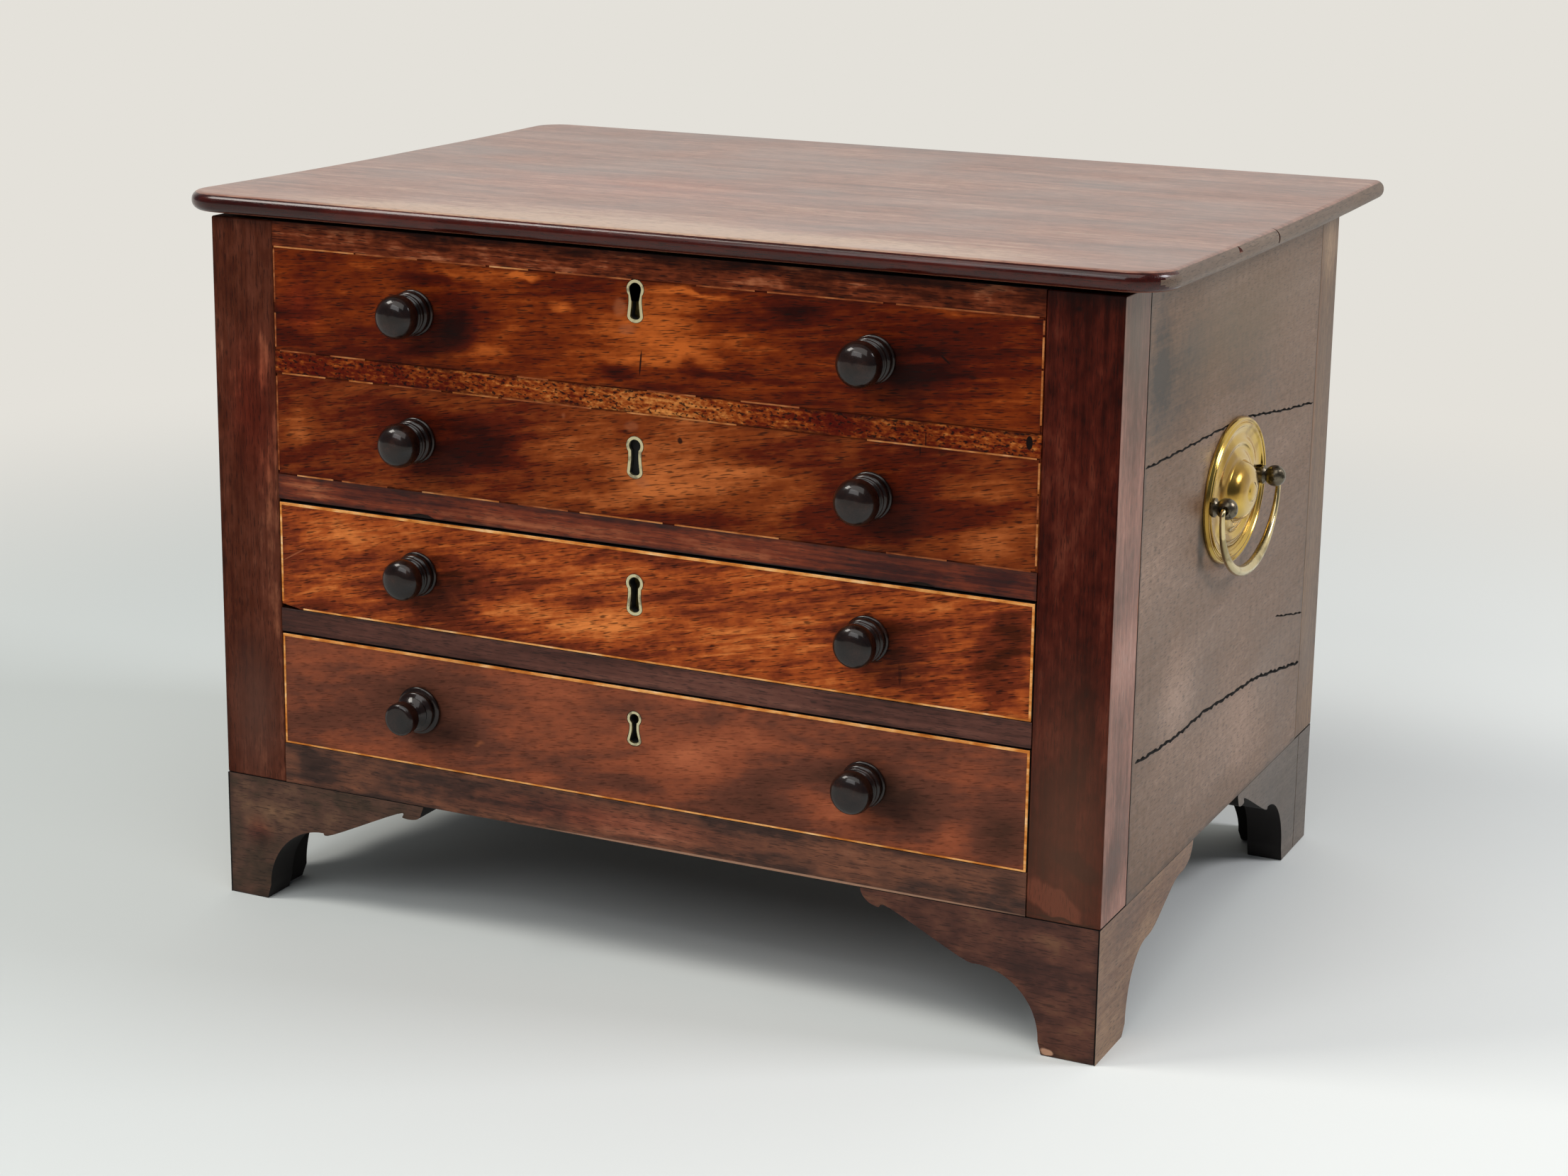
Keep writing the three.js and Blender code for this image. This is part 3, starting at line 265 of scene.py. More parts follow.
@dataclass(frozen=True)
class Wood:
    """A polished wood with figure, streaks and pores along its grain.

    The four tones run from the deepest to the lightest part of the figure.
    """

    name: str
    tones: tuple[str, str, str, str]
    grain: Grain = Grain.ACROSS
    figure: Layer = Layer(70, 22, 1.1, 2, 0.6)
    cloud: Layer = Layer(60, 45, 0.5, 1)
    streak: Layer = Layer(60, 1.7, 0.55, 4)
    mottle: Layer = Layer(7, 3.0, 0.3, 2)
    pore: Layer = Layer(5.0, 0.45, 0.55, 1)
    tilt: float = 0.0
    roughness: float = 0.5
    specular: float = 0.07
    coat: float = 0.0
    coat_roughness: float = 0.2
    relief: float = 0.25
    red: str = "#6a1d0c"
    grime_and_shade: str = "#120806"
    bare: str = "#a5603c"
    seed: tuple[float, float, float] = (0.0, 0.0, 0.0)
    marks: tuple[Mark | Edge, ...] = ()

    def noise(self, tree: bpy.types.NodeTree, place: bpy.types.NodeSocket,
              layer: Layer) -> bpy.types.NodeSocket:
        """Adds one noise of the wood, stretched along its grain."""
        lean = (0.0, math.radians(self.tilt), 0.0) if self.grain is not Grain.DEEP else (0.0, 0.0, 0.0)
        where = add_node(tree, "ShaderNodeMapping", {"vector_type": "TEXTURE"},
                         {"Vector": place, "Location": metres(self.seed), "Rotation": lean,
                          "Scale": self.grain.size(layer.along, layer.across)})
        return add_node(tree, "ShaderNodeTexNoise", {},
                        {"Vector": where.outputs[0], "Scale": 1.0, "Detail": layer.detail,
                         "Distortion": layer.twist}).outputs[0]

    def gather(self, tree: bpy.types.NodeTree, effect: Effect,
               places: dict[bool, bpy.types.NodeSocket]) -> bpy.types.NodeSocket | None:
        """Adds up the marks of one effect, and returns their strength or None."""
        total = None
        for mark in self.marks:
            if mark.effect is not effect:
                continue
            one = mark.mask(tree, places[getattr(mark, "ragged", True)])
            if total is None:
                total = one
            else:
                total = calculate(tree, "ADD" if effect is Effect.TONE else "MAXIMUM", total, one)
        return total

    def build(self) -> bpy.types.Material:
        """Makes the material."""
        material, tree = new_material(self.name)
        place = add_node(tree, "ShaderNodeTexCoord").outputs["Object"]
        stir = add_node(tree, "ShaderNodeTexNoise", {}, {"Vector": place, "Scale": 90.0, "Detail": 2.0})
        drift = combine(tree, "MULTIPLY_ADD", stir.outputs[1], metres([WANDER] * 3),
                        metres([-WANDER / 2] * 3))
        places = {True: combine(tree, "ADD", place, drift), False: place}
        layers = (self.figure, self.cloud, self.streak, self.mottle)
        noises = [self.noise(tree, place, layer) for layer in layers]
        tone = 0.5 - sum(layer.weight for layer in layers) / 2
        for noise, layer in zip(noises, layers):
            tone = calculate(tree, "MULTIPLY_ADD", noise, layer.weight, tone)
        shift = self.gather(tree, Effect.TONE, places)
        if shift is not None:
            tone = calculate(tree, "ADD", tone, shift)
        stops = tuple(zip(TONE_STOPS, self.tones))
        colour = add_node(tree, "ShaderNodeValToRGB", {"stops": stops}, {0: tone}).outputs[0]
        red = self.gather(tree, Effect.RED, places)
        if red is not None:
            colour = blend(tree, red, colour, linear(self.red), "COLOR")
        pores = fade(tree, self.noise(tree, place, self.pore), PORE_START, PORE_FULL, 0.0, self.pore.weight)
        colour = blend(tree, pores, colour, linear(self.grime_and_shade))
        # Dirt, and the marks of painted shadow, in the dark colour
        grime_and_shade = self.gather(tree, Effect.GRIME_AND_SHADE, places)
        if grime_and_shade is not None:
            colour = blend(tree, grime_and_shade, colour, linear(self.grime_and_shade))
        bare = self.gather(tree, Effect.BARE, places)
        roughness = fade(tree, noises[1], 0.3, 0.7, self.roughness - 0.05, self.roughness + 0.06, "LINEAR")
        if bare is not None:
            colour = blend(tree, bare, colour, linear(self.bare))
            roughness = calculate(tree, "MULTIPLY_ADD", bare, 0.15, roughness)
        height = calculate(tree, "MULTIPLY_ADD", pores, -1.0, noises[2])
        bump = add_node(tree, "ShaderNodeBump", {},
                        {"Strength": self.relief, "Distance": WOOD_DEPTH, "Height": height})
        add_shader(tree, {"Base Color": colour, "Roughness": roughness, "Specular IOR Level": self.specular,
                          "Coat Weight": self.coat, "Coat Roughness": self.coat_roughness,
                          "Normal": bump.outputs[0]})
        return material


@dataclass(frozen=True)
class ShadeAndDirt:
    """A flat dark colour without shine: painted shade in holes and gaps, and on the inner faces of the feet.
    """

    name: str
    colour: str
    roughness: float = 0.9

    def build(self) -> bpy.types.Material:
        """Makes the material."""
        material, tree = new_material(self.name)
        add_shader(tree, {"Base Color": linear(self.colour), "Roughness": self.roughness})
        return material


@dataclass(frozen=True)
class Metal:
    """A metal with brighter and duller patches."""

    name: str
    bright: str
    dull: str
    patch: float = 9.0
    roughness: float = 0.22
    dull_roughness: float = 0.42
    dull_share: float = 0.5
    relief: float = 0.05

    def build(self) -> bpy.types.Material:
        """Makes the material."""
        material, tree = new_material(self.name)
        place = add_node(tree, "ShaderNodeTexCoord").outputs["Object"]
        noise = add_node(tree, "ShaderNodeTexNoise", {},
                         {"Vector": place, "Scale": 1 / (self.patch * MM), "Detail": 4.0}).outputs[0]
        dull = fade(tree, noise, 0.72 - 0.4 * self.dull_share, 0.84 - 0.4 * self.dull_share)
        colour = blend(tree, dull, linear(self.bright), linear(self.dull))
        roughness = fade(tree, dull, 0.0, 1.0, self.roughness, self.dull_roughness, "LINEAR")
        bump = add_node(tree, "ShaderNodeBump", {},
                        {"Strength": self.relief, "Distance": METAL_DEPTH, "Height": noise})
        add_shader(tree, {"Base Color": colour, "Metallic": 1.0, "Roughness": roughness,
                          "Normal": bump.outputs[0]})
        return material


@dataclass(frozen=True)
class Paper:
    """The studio's seamless paper, which away from the chest becomes the white background."""

    name: str
    left: str
    right: str
    far: str
    start: float = 0.5
    end: float = 1.3

    def build(self) -> bpy.types.Material:
        """Makes the material."""
        material, tree = new_material(self.name)
        place = add_node(tree, "ShaderNodeTexCoord").outputs["Object"]
        parts = add_node(tree, "ShaderNodeSeparateXYZ", {}, {0: place})
        # Darker towards the left: painted shade on the floor
        side = fade(tree, parts.outputs["X"], -0.7, 0.6)
        near = blend(tree, side, linear(self.left), linear(self.right))
        share = fade(tree, combine(tree, "LENGTH", place), self.start, self.end)
        seen = calculate(tree, "MULTIPLY", share, background_rays(tree))
        paper = add_node(tree, "ShaderNodeBsdfDiffuse", {}, {"Color": near})
        backdrop = add_node(tree, "ShaderNodeEmission", {}, {"Color": linear(self.far), "Strength": 1.0})
        mixed = add_node(tree, "ShaderNodeMixShader", {},
                         {0: seen, 1: paper.outputs[0], 2: backdrop.outputs[0]})
        add_node(tree, "ShaderNodeOutputMaterial", {}, {"Surface": mixed.outputs[0]})
        return material


Finish = Wood | ShadeAndDirt | Metal | Paper


class Palette:
    """Builds each finish once."""

    def __init__(self) -> None:
        self.built: dict[str, bpy.types.Material] = {}

    def material(self, finish: Finish) -> bpy.types.Material:
        """The material of a finish."""
        if finish.name not in self.built:
            self.built[finish.name] = finish.build()
        return self.built[finish.name]


PALETTE = Palette()


def arc(centre: Point, radii: Point, start: float, end: float, steps: int = 10) -> list[Point]:
    """Points on an elliptical arc, with its angles in degrees."""
    points = []
    for i in range(steps + 1):
        angle = math.radians(start + (end - start) * i / steps)
        points.append((centre[0] + radii[0] * math.cos(angle), centre[1] + radii[1] * math.sin(angle)))
    return points


def smooth_through(points: Sequence[Point], steps: int = 5) -> list[Point]:
    """Points on a soft curve that passes through the given ones."""
    result = []
    for i in range(len(points) - 1):
        before, start = points[max(i - 1, 0)], points[i]
        end, after = points[i + 1], points[min(i + 2, len(points) - 1)]
        for step in range(steps):
            t = step / steps
            result.append(tuple(
                0.5 * (2 * b + (c - a) * t + (2 * a - 5 * b + 4 * c - d) * t * t
                       + (3 * b - a - 3 * c + d) * t**3)
                for a, b, c, d in zip(before, start, end, after)))
    return [*result, points[-1]]


class Shape:
    """A closed mesh under construction, in millimetres in the chest's frame."""

    def __init__(self) -> None:
        self.mesh = bmesh.new()

    @classmethod
    def block(cls, low: Corner, high: Corner) -> "Shape":
        """A box between two corners."""
        return cls().add_block(low, high)

    @classmethod
    def of_node(cls, node: str) -> "Shape":
        """A copy of a CAD node with its triangles merged back into flat faces."""
        shape = cls()
        shape.mesh.from_mesh(bpy.data.objects[node].data)
        shape.transform(Matrix.Scale(1 / MM, 4))
        return shape.tidy()

    @classmethod
    def prism(cls, outline: Sequence[Point], face: Face, low: float, high: float) -> "Shape":
        """An outline on a face of the chest, given its thickness between two places along the third axis."""
        shape = cls()
        first, second = face.value
        normal = 3 - first - second
        verts = []
        for u, v in outline:
            place = [0.0] * 3
            place[first], place[second], place[normal] = u, v, low
            verts.append(shape.mesh.verts.new(place))
        base = shape.mesh.faces.new(verts)
        grown = bmesh.ops.extrude_face_region(shape.mesh, geom=[base])
        shift = Vector((0, 0, 0))
        shift[normal] = high - low
        moved = [item for item in grown["geom"] if isinstance(item, bmesh.types.BMVert)]
        bmesh.ops.translate(shape.mesh, verts=moved, vec=shift)
        bmesh.ops.recalc_face_normals(shape.mesh, faces=shape.mesh.faces)
        return shape

    @classmethod
    def turned(cls, profile: Sequence[Point], direction: Corner, steps: int = 64) -> "Shape":
        """A piece turned about an axis through the origin from (radius, reach) pairs."""
        shape = cls()
        verts = [shape.mesh.verts.new((radius, 0, reach)) for radius, reach in profile]
        edges = [shape.mesh.edges.new(pair) for pair in zip(verts, verts[1:])]
        bmesh.ops.spin(shape.mesh, geom=[*verts, *edges], cent=(0, 0, 0), axis=(0, 0, 1), angle=2 * math.pi,
                       steps=steps, use_merge=True)
        bmesh.ops.remove_doubles(shape.mesh, verts=shape.mesh.verts, dist=0.001)
        bmesh.ops.recalc_face_normals(shape.mesh, faces=shape.mesh.faces)
        turn = Vector((0, 0, 1)).rotation_difference(Vector(direction)).to_matrix().to_4x4()
        return shape.transform(turn)

    def add_block(self, low: Corner, high: Corner) -> "Shape":
        """Adds a box between two corners."""
        size = [b - a for a, b in zip(low, high)]
        middle = [(a + b) / 2 for a, b in zip(low, high)]
        bmesh.ops.create_cube(self.mesh, size=1.0,
                              matrix=Matrix.Translation(middle) @ Matrix.Diagonal((*size, 1.0)))
        return self

    def tidy(self) -> "Shape":
        """Merges doubles and flat faces."""
        bmesh.ops.remove_doubles(self.mesh, verts=self.mesh.verts, dist=0.002)
        bmesh.ops.dissolve_limit(self.mesh, angle_limit=math.radians(0.3), verts=self.mesh.verts,
                                 edges=self.mesh.edges, use_dissolve_boundaries=False)
        bmesh.ops.recalc_face_normals(self.mesh, faces=self.mesh.faces)
        return self

    def transform(self, matrix: Matrix) -> "Shape":
        """Moves, turns or scales the shape."""
        bmesh.ops.transform(self.mesh, matrix=matrix, verts=self.mesh.verts)
        return self

    def moved(self, x: float = 0, y: float = 0, z: float = 0) -> "Shape":
        """Moves the shape."""
        return self.transform(Matrix.Translation((x, y, z)))

    def displace(self, rule: Callable[[Vector], Vector]) -> "Shape":
        """Moves each corner to the place that a rule gives it."""
        for vert in self.mesh.verts:
            vert.co = rule(vert.co)
        return self

    def limits(self) -> tuple[Vector, Vector]:
        """The lowest and highest corner."""
        places = [vert.co for vert in self.mesh.verts]
        return (Vector([min(p[i] for p in places) for i in range(3)]),
                Vector([max(p[i] for p in places) for i in range(3)]))

    def bevel(self, chosen: Callable[[Vector, Vector], bool], width: float, segments: int = 3) -> "Shape":
        """Rounds the edges whose two ends a rule chooses."""
        edges = [e for e in self.mesh.edges if chosen(e.verts[0].co, e.verts[1].co)]
        bmesh.ops.bevel(self.mesh, geom=edges, offset=width, offset_type="OFFSET", segments=segments,
                        profile=0.5, affect="EDGES", clamp_overlap=True, material=-1)
        return self

    def soften(self, width: float, segments: int = 3) -> "Shape":
        """Rounds the edges of the shape's outer box."""
        low, high = self.limits()

        def on_box(start: Vector, end: Vector) -> bool:
            """Whether an edge lies along an edge of the box."""
            shared = 0
            for axis in range(3):
                for limit in (low[axis], high[axis]):
                    shared += abs(start[axis] - limit) < 0.02 and abs(end[axis] - limit) < 0.02
            return shared >= 2

        return self.bevel(on_box, width, segments)

    def slice(self, axis: int, places: Iterable[float]) -> "Shape":
        """Cuts edges into the faces where they cross planes square to an axis."""
        normal = Vector((0, 0, 0))
        normal[axis] = 1
        for place in places:
            geometry = [*self.mesh.verts, *self.mesh.edges, *self.mesh.faces]
            bmesh.ops.bisect_plane(self.mesh, geom=geometry, plane_co=normal * place, plane_no=normal)
        return self

    def trim(self, place: Corner, normal: Corner) -> "Shape":
        """Cuts away what lies beyond a plane, and closes the cut."""
        geometry = [*self.mesh.verts, *self.mesh.edges, *self.mesh.faces]
        bmesh.ops.bisect_plane(self.mesh, geom=geometry, plane_co=place, plane_no=normal, clear_outer=True)
        rim = [edge for edge in self.mesh.edges if edge.is_boundary]
        bmesh.ops.holes_fill(self.mesh, edges=rim)
        bmesh.ops.recalc_face_normals(self.mesh, faces=self.mesh.faces)
        return self

    def loose_object(self, name: str) -> bpy.types.Object:
        """A plain object with a copy of this mesh, still in millimetres."""
        data = bpy.data.meshes.new(name)
        self.mesh.to_mesh(data)
        made = bpy.data.objects.new(name, data)
        bpy.context.scene.collection.objects.link(made)
        return made

    def carve(self, *cutters: "Shape") -> "Shape":
        """Takes other shapes out of this one."""
        subject = self.loose_object("subject")
        tools = [cutter.loose_object("cutter") for cutter in cutters]
        for tool in tools:
            modifier = subject.modifiers.new("carve", "BOOLEAN")
            modifier.operation, modifier.solver, modifier.object = "DIFFERENCE", "EXACT", tool
        graph = bpy.context.evaluated_depsgraph_get()
        carved = bpy.data.meshes.new_from_object(subject.evaluated_get(graph))
        self.mesh.clear()
        self.mesh.from_mesh(carved)
        for spare in (subject, *tools):
            bpy.data.objects.remove(spare)
        return self.tidy()

    def place(self, name: str, body: str, slot: str, *finishes: Finish,
              stands_for: Iterable[str] = (), angle: float = 38.0,
              choose: Callable[[Vector, Vector], int] | None = None) -> bpy.types.Object:
        """Makes the finished piece.

        Args:
            name: the piece's name.
            body: the CAD body it rides on.
            slot: the record's material slot; not used.
            finishes: its finishes.
            stands_for: the CAD nodes it is shown instead of.
            angle: edges sharper than this stay sharp, in degrees.
            choose: gives the number of a face's finish from its middle and its normal.

        Returns:
            The object.
        """
        if choose is not None:
            for face in self.mesh.faces:
                face.material_index = choose(face.calc_center_median(), face.normal)
        self.transform(Matrix.Scale(MM, 4))
        made = self.loose_object(name)
        self.mesh.free()
        for finish in finishes:
            made.data.materials.append(PALETTE.material(finish))
        made.data.shade_smooth()
        made.data.set_sharp_from_angle(angle=math.radians(angle))
        weighted = made.modifiers.new("even shading", "WEIGHTED_NORMAL")
        weighted.keep_sharp = True
        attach(made, body)
        if stands_for:
            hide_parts(*stands_for)
        log.info("%s: %d faces on %s", name, len(made.data.polygons), body)
        return made


@dataclass(frozen=True)
class Box:
    """The box of a CAD node in millimetres."""

    low: Vector
    high: Vector

    @classmethod
    def of(cls, node: str) -> "Box":
        """The box of a named node."""
        low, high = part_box(node)
        return cls(low / MM, high / MM)

    @property
    def middle(self) -> Vector:
        """The middle of the box."""
        return (self.low + self.high) / 2

    def grown(self, by: float) -> Shape:
        """A block a little larger than the box."""
        return Shape.block([c - by for c in self.low], [c + by for c in self.high])


def dress(node: str, finish: Finish) -> None:
    """Gives a CAD node that stays as it is its finish."""
    data = bpy.data.objects[node].data
    data.materials.clear()
    data.materials.append(PALETTE.material(finish))
    log.info("%s: the CAD mesh in %s", node, finish.name)


# Finishes

# Figured mahogany under old shellac: orange-gold where it was rubbed, nearly black in the shadows
FIGURED = Wood("figured_mahogany", ("#250902", "#51190a", "#722b0f", "#b85a20"),
               figure=Layer(45, 9, 1.0, 4, 0.9), cloud=Layer(70, 34, 0.8, 2), streak=Layer(26, 1.6, 0.8, 5),
               mottle=Layer(6, 3, 0.6, 4), pore=Layer(6, 0.6, 0.75, 1))
# Plain straight-grained mahogany, darkened by polish and hands
FRAME = Wood("dark_mahogany", ("#1c0805", "#3a130b", "#562013", "#7c3a22"), grain=Grain.UPRIGHT,
             figure=Layer(140, 12, 0.8, 2, 0.3), streak=Layer(90, 1.5, 0.6, 4))
# The rails' polish has gone dull and brown
RAIL = replace(FRAME, name="rail_mahogany", grain=Grain.ACROSS,
               tones=("#1d0b08", "#3a1a14", "#553026", "#86553c"), specular=0.25)
# The side has lost its red and its shine to sunlight
SIDE = Wood("faded_mahogany", ("#4a3220", "#6e4e33", "#835f40", "#a37c58"), grain=Grain.DEEP,
            figure=Layer(160, 40, 0.6, 2, 0.3), streak=Layer(90, 1.4, 0.35, 4), roughness=0.45, specular=0.5)
# The top keeps a thin polish that catches the light of the room
TOP = Wood("polished_mahogany", ("#54251a", "#7a4232", "#915645", "#ad7562"), grain=Grain.ACROSS,
           figure=Layer(130, 20, 0.7, 4, 0.5), streak=Layer(90, 2.2, 0.5, 5), mottle=Layer(14, 5, 0.35, 4),
           roughness=0.34, specular=0.5, coat=0.35, coat_roughness=0.25)
# The lid's edge: a glossier copy of the top's wood, made darker as painted shade on the faces that look
# sideways and down
LID_EDGE = replace(TOP, name="lid_edge_painted_shade_mahogany", tones=("#190401", "#310a05", "#4a160c", "#7a3c28"),
                   roughness=0.24, specular=0.2, coat=0.36, coat_roughness=0.08)
# Its right edge has faded like the side below it
LID_SIDE = replace(SIDE, name="faded_lid_edge_mahogany", tones=("#3a2a20", "#5a4638", "#6e5a4a", "#9c8674"))
# The underside was only oiled
LID_UNDER = replace(SIDE, name="oiled_mahogany", grain=Grain.ACROSS,
                    tones=("#3a1a10", "#5c2f1e", "#754230", "#966048"), specular=0.3)
# Softwood that never had polish
DEAL = Wood("bare_deal", ("#7d5433", "#a17549", "#b98c5c", "#cfa677"), grain=Grain.DEEP,
            figure=Layer(220, 14, 1.0, 2, 0.3), roughness=0.75, coat=0.0, grime_and_shade="#5a3a20")
# The underside has a century and more of soot and floor dust, and is made darker still to deepen the shade
# on the floor under the chest
DEAL_UNDER = replace(DEAL, name="sooty_deal_darkened_for_shade", tones=("#1c140e", "#2e2118", "#3c2c20", "#4e3a2a"))
# Pear wood stained black and polished, brown where fingers wore it
EBONISED = Wood("ebonised_wood", ("#080403", "#130906", "#20110c", "#3c2219"), grain=Grain.DEEP,
                figure=Layer(16, 7, 1.0), streak=Layer(14, 0.8, 0.5), cloud=Layer(9, 9, 0.4, 1),
                roughness=0.3, specular=0.15, coat=0.5, coat_roughness=0.07, relief=0.08)
# Boxwood lines under the same varnish as the fronts
BOXWOOD = Wood("boxwood", ("#8a4416", "#cc7a34", "#eaa660", "#fdd8a8"), figure=Layer(9, 4, 1.2),
               streak=Layer(20, 0.6, 0.4), cloud=Layer(12, 12, 0.6), pore=Layer(3, 0.3, 0.2),
               grime_and_shade="#6b3412")
# Round the sham fronts the lines are browner, and most are worn down
FADED_BOXWOOD = replace(BOXWOOD, name="faded_boxwood", tones=("#5e2a10", "#9c5626", "#bf7c48", "#dcaa7a"))
WORN_BOXWOOD = replace(BOXWOOD, name="worn_boxwood", tones=("#451a0b", "#763618", "#98542e", "#c0824e"))
# Pressed sheet brass, rubbed bright on its high places
BRASS = Metal("pressed_brass", "#d0ae58", "#a4823e", patch=26, roughness=0.15, dull_roughness=0.24,
              dull_share=0.55)
# The bail is worn by hands, so it is paler
RUBBED_BRASS = Metal("rubbed_brass", "#d4c294", "#a59670", patch=12, roughness=0.2, dull_roughness=0.35)
# The keyhole plates are pale with rubbing
PALE_BRASS = Metal("worn_brass", "#d6cca4", "#a0957a", patch=5, roughness=0.34, dull_roughness=0.5)
BLACK_BRASS = Metal("darkened_brass", "#6c6455", "#3a352b", patch=3, roughness=0.3, dull_roughness=0.5)
# Brass that has darkened where nobody polishes it
DULL_BRASS = Metal("dull_brass", "#6a5a34", "#3e3620", patch=8, roughness=0.45, dull_roughness=0.6)
IRON = Metal("dark_iron", "#5b5955", "#3a3835", patch=6, roughness=0.45, dull_roughness=0.6)
# Painted shade: near black for the insides of the keyholes and the walls of the cracks, where no light
# reaches
HOLE_SHADE = ShadeAndDirt("painted_shade_in_holes", "#080605")
# The backs of the feet were never finished; their near black is also painted shade on the feet's inner faces
# and sawn edges
BARE_AND_SHADED_INSIDE = ShadeAndDirt("bare_wood_and_painted_shade", "#120c09")
# Painted shade: dark brown on the faces in the narrow gaps round the drawers and in the chips along the
# front's lower edge
GAP_SHADE = ShadeAndDirt("painted_gap_shade", "#22140d")
# Cooler and darker on the left as painted shade, nearly white on the right, and a warm white behind
PAPER = Paper("seamless_paper", "#c6cccb", "#e6eae9", "#e4e1da")


@dataclass(frozen=True)
class Stage:
    """The floor, the light and the camera."""

    floor_half: float = 14.0
    width_px: float = 2212.0
    focal_px: float = 4167.98
    sensor: float = 36.0
    azimuth: float = 25.348
    elevation: float = 13.3717
    roll: float = 0.81995
    camera: tuple[float, float, float] = (606.0170, -1285.3995, 531.3630)
    shift: float = -0.06

    def build(self) -> None:
        """Builds all of it."""
        self.build_floor()
        self.build_world()
        self.add_light("key", (-1.6, -1.05, 2.35), (0, 0, 0.2), (0.9, 0.9), 34.0, "#fffaf2")
        self.add_light("window", (1.95, 0.55, 1.75), (0.2, 0, 0.2), (0.7, 0.7), 26.0, "#fdfbff")
        self.add_light("ceiling", (0.2, -1.3, 2.5), (0, 0, 0.1), (2.6, 1.8), 27.0, "#fffdf8")
        self.add_light("fill", (-0.4, -2.5, 1.9), (0, -0.2, 0.0), (1.8, 1.2), 20.0, "#ffffff")
        self.build_camera()

    def build_floor(self) -> None:
        """A wide sheet of paper under the chest."""
        mesh = bmesh.new()
        bmesh.ops.create_grid(mesh, x_segments=1, y_segments=1, size=self.floor_half)
        data = bpy.data.meshes.new("floor")
        mesh.to_mesh(data)
        mesh.free()
        floor = bpy.data.objects.new("floor", data)
        bpy.context.scene.collection.objects.link(floor)
        data.materials.append(PALETTE.material(PAPER))

    def build_world(self) -> None:
        """A room that is white behind the chest and dim on the camera's side."""
        world = bpy.data.worlds.new("room")
        bpy.context.scene.world = world
        world.use_nodes = True
        tree = world.node_tree
        tree.nodes.clear()
        direction = add_node(tree, "ShaderNodeTexCoord").outputs["Generated"]
        parts = add_node(tree, "ShaderNodeSeparateXYZ", {}, {0: direction})
        share = fade(tree, parts.outputs["Y"], 0.1, 0.6)
        colour = blend(tree, share, linear("#585d66"), linear("#e4e2dc"))
        background = add_node(tree, "ShaderNodeBackground", {}, {"Color": colour, "Strength": 1.0})
        add_node(tree, "ShaderNodeOutputWorld", {}, {"Surface": background.outputs[0]})

    def add_light(self, name: str, place: Corner, target: Corner, size: Point, power: float,
                  colour: str) -> None:
        """Adds a soft light that faces a target; places are in metres."""
        data = bpy.data.lights.new(name, "AREA")
        data.shape, data.size, data.size_y = "RECTANGLE", size[0], size[1]
        data.energy, data.color = power, linear(colour)[:3]
        light = bpy.data.objects.new(name, data)
        light.location = place
        light.rotation_euler = (Vector(target) - Vector(place)).to_track_quat("-Z", "Y").to_euler()
        bpy.context.scene.collection.objects.link(light)

    def build_camera(self) -> None:
        """The camera that was fitted to the photograph."""
        azimuth, elevation = math.radians(self.azimuth), math.radians(self.elevation)
        roll = math.radians(self.roll)
        ahead = Vector((-math.sin(azimuth) * math.cos(elevation), math.cos(azimuth) * math.cos(elevation),
                        -math.sin(elevation)))
        level = ahead.cross(Vector((0, 0, 1))).normalized()
        upright = level.cross(ahead)
        right = math.cos(roll) * level + math.sin(roll) * upright
        up = math.cos(roll) * upright - math.sin(roll) * level
        data = bpy.data.cameras.new("camera")
        data.sensor_fit, data.sensor_width = "HORIZONTAL", self.sensor
        data.lens = self.focal_px * self.sensor / self.width_px
        data.shift_y = self.shift
        data.clip_start, data.clip_end = 0.05, 60.0
        camera = bpy.data.objects.new("camera", data)
        pose = Matrix((right, up, -ahead)).transposed().to_4x4()
        pose.translation = metres(self.camera)
        camera.matrix_world = pose
        bpy.context.scene.collection.objects.link(camera)
        bpy.context.scene.camera = camera


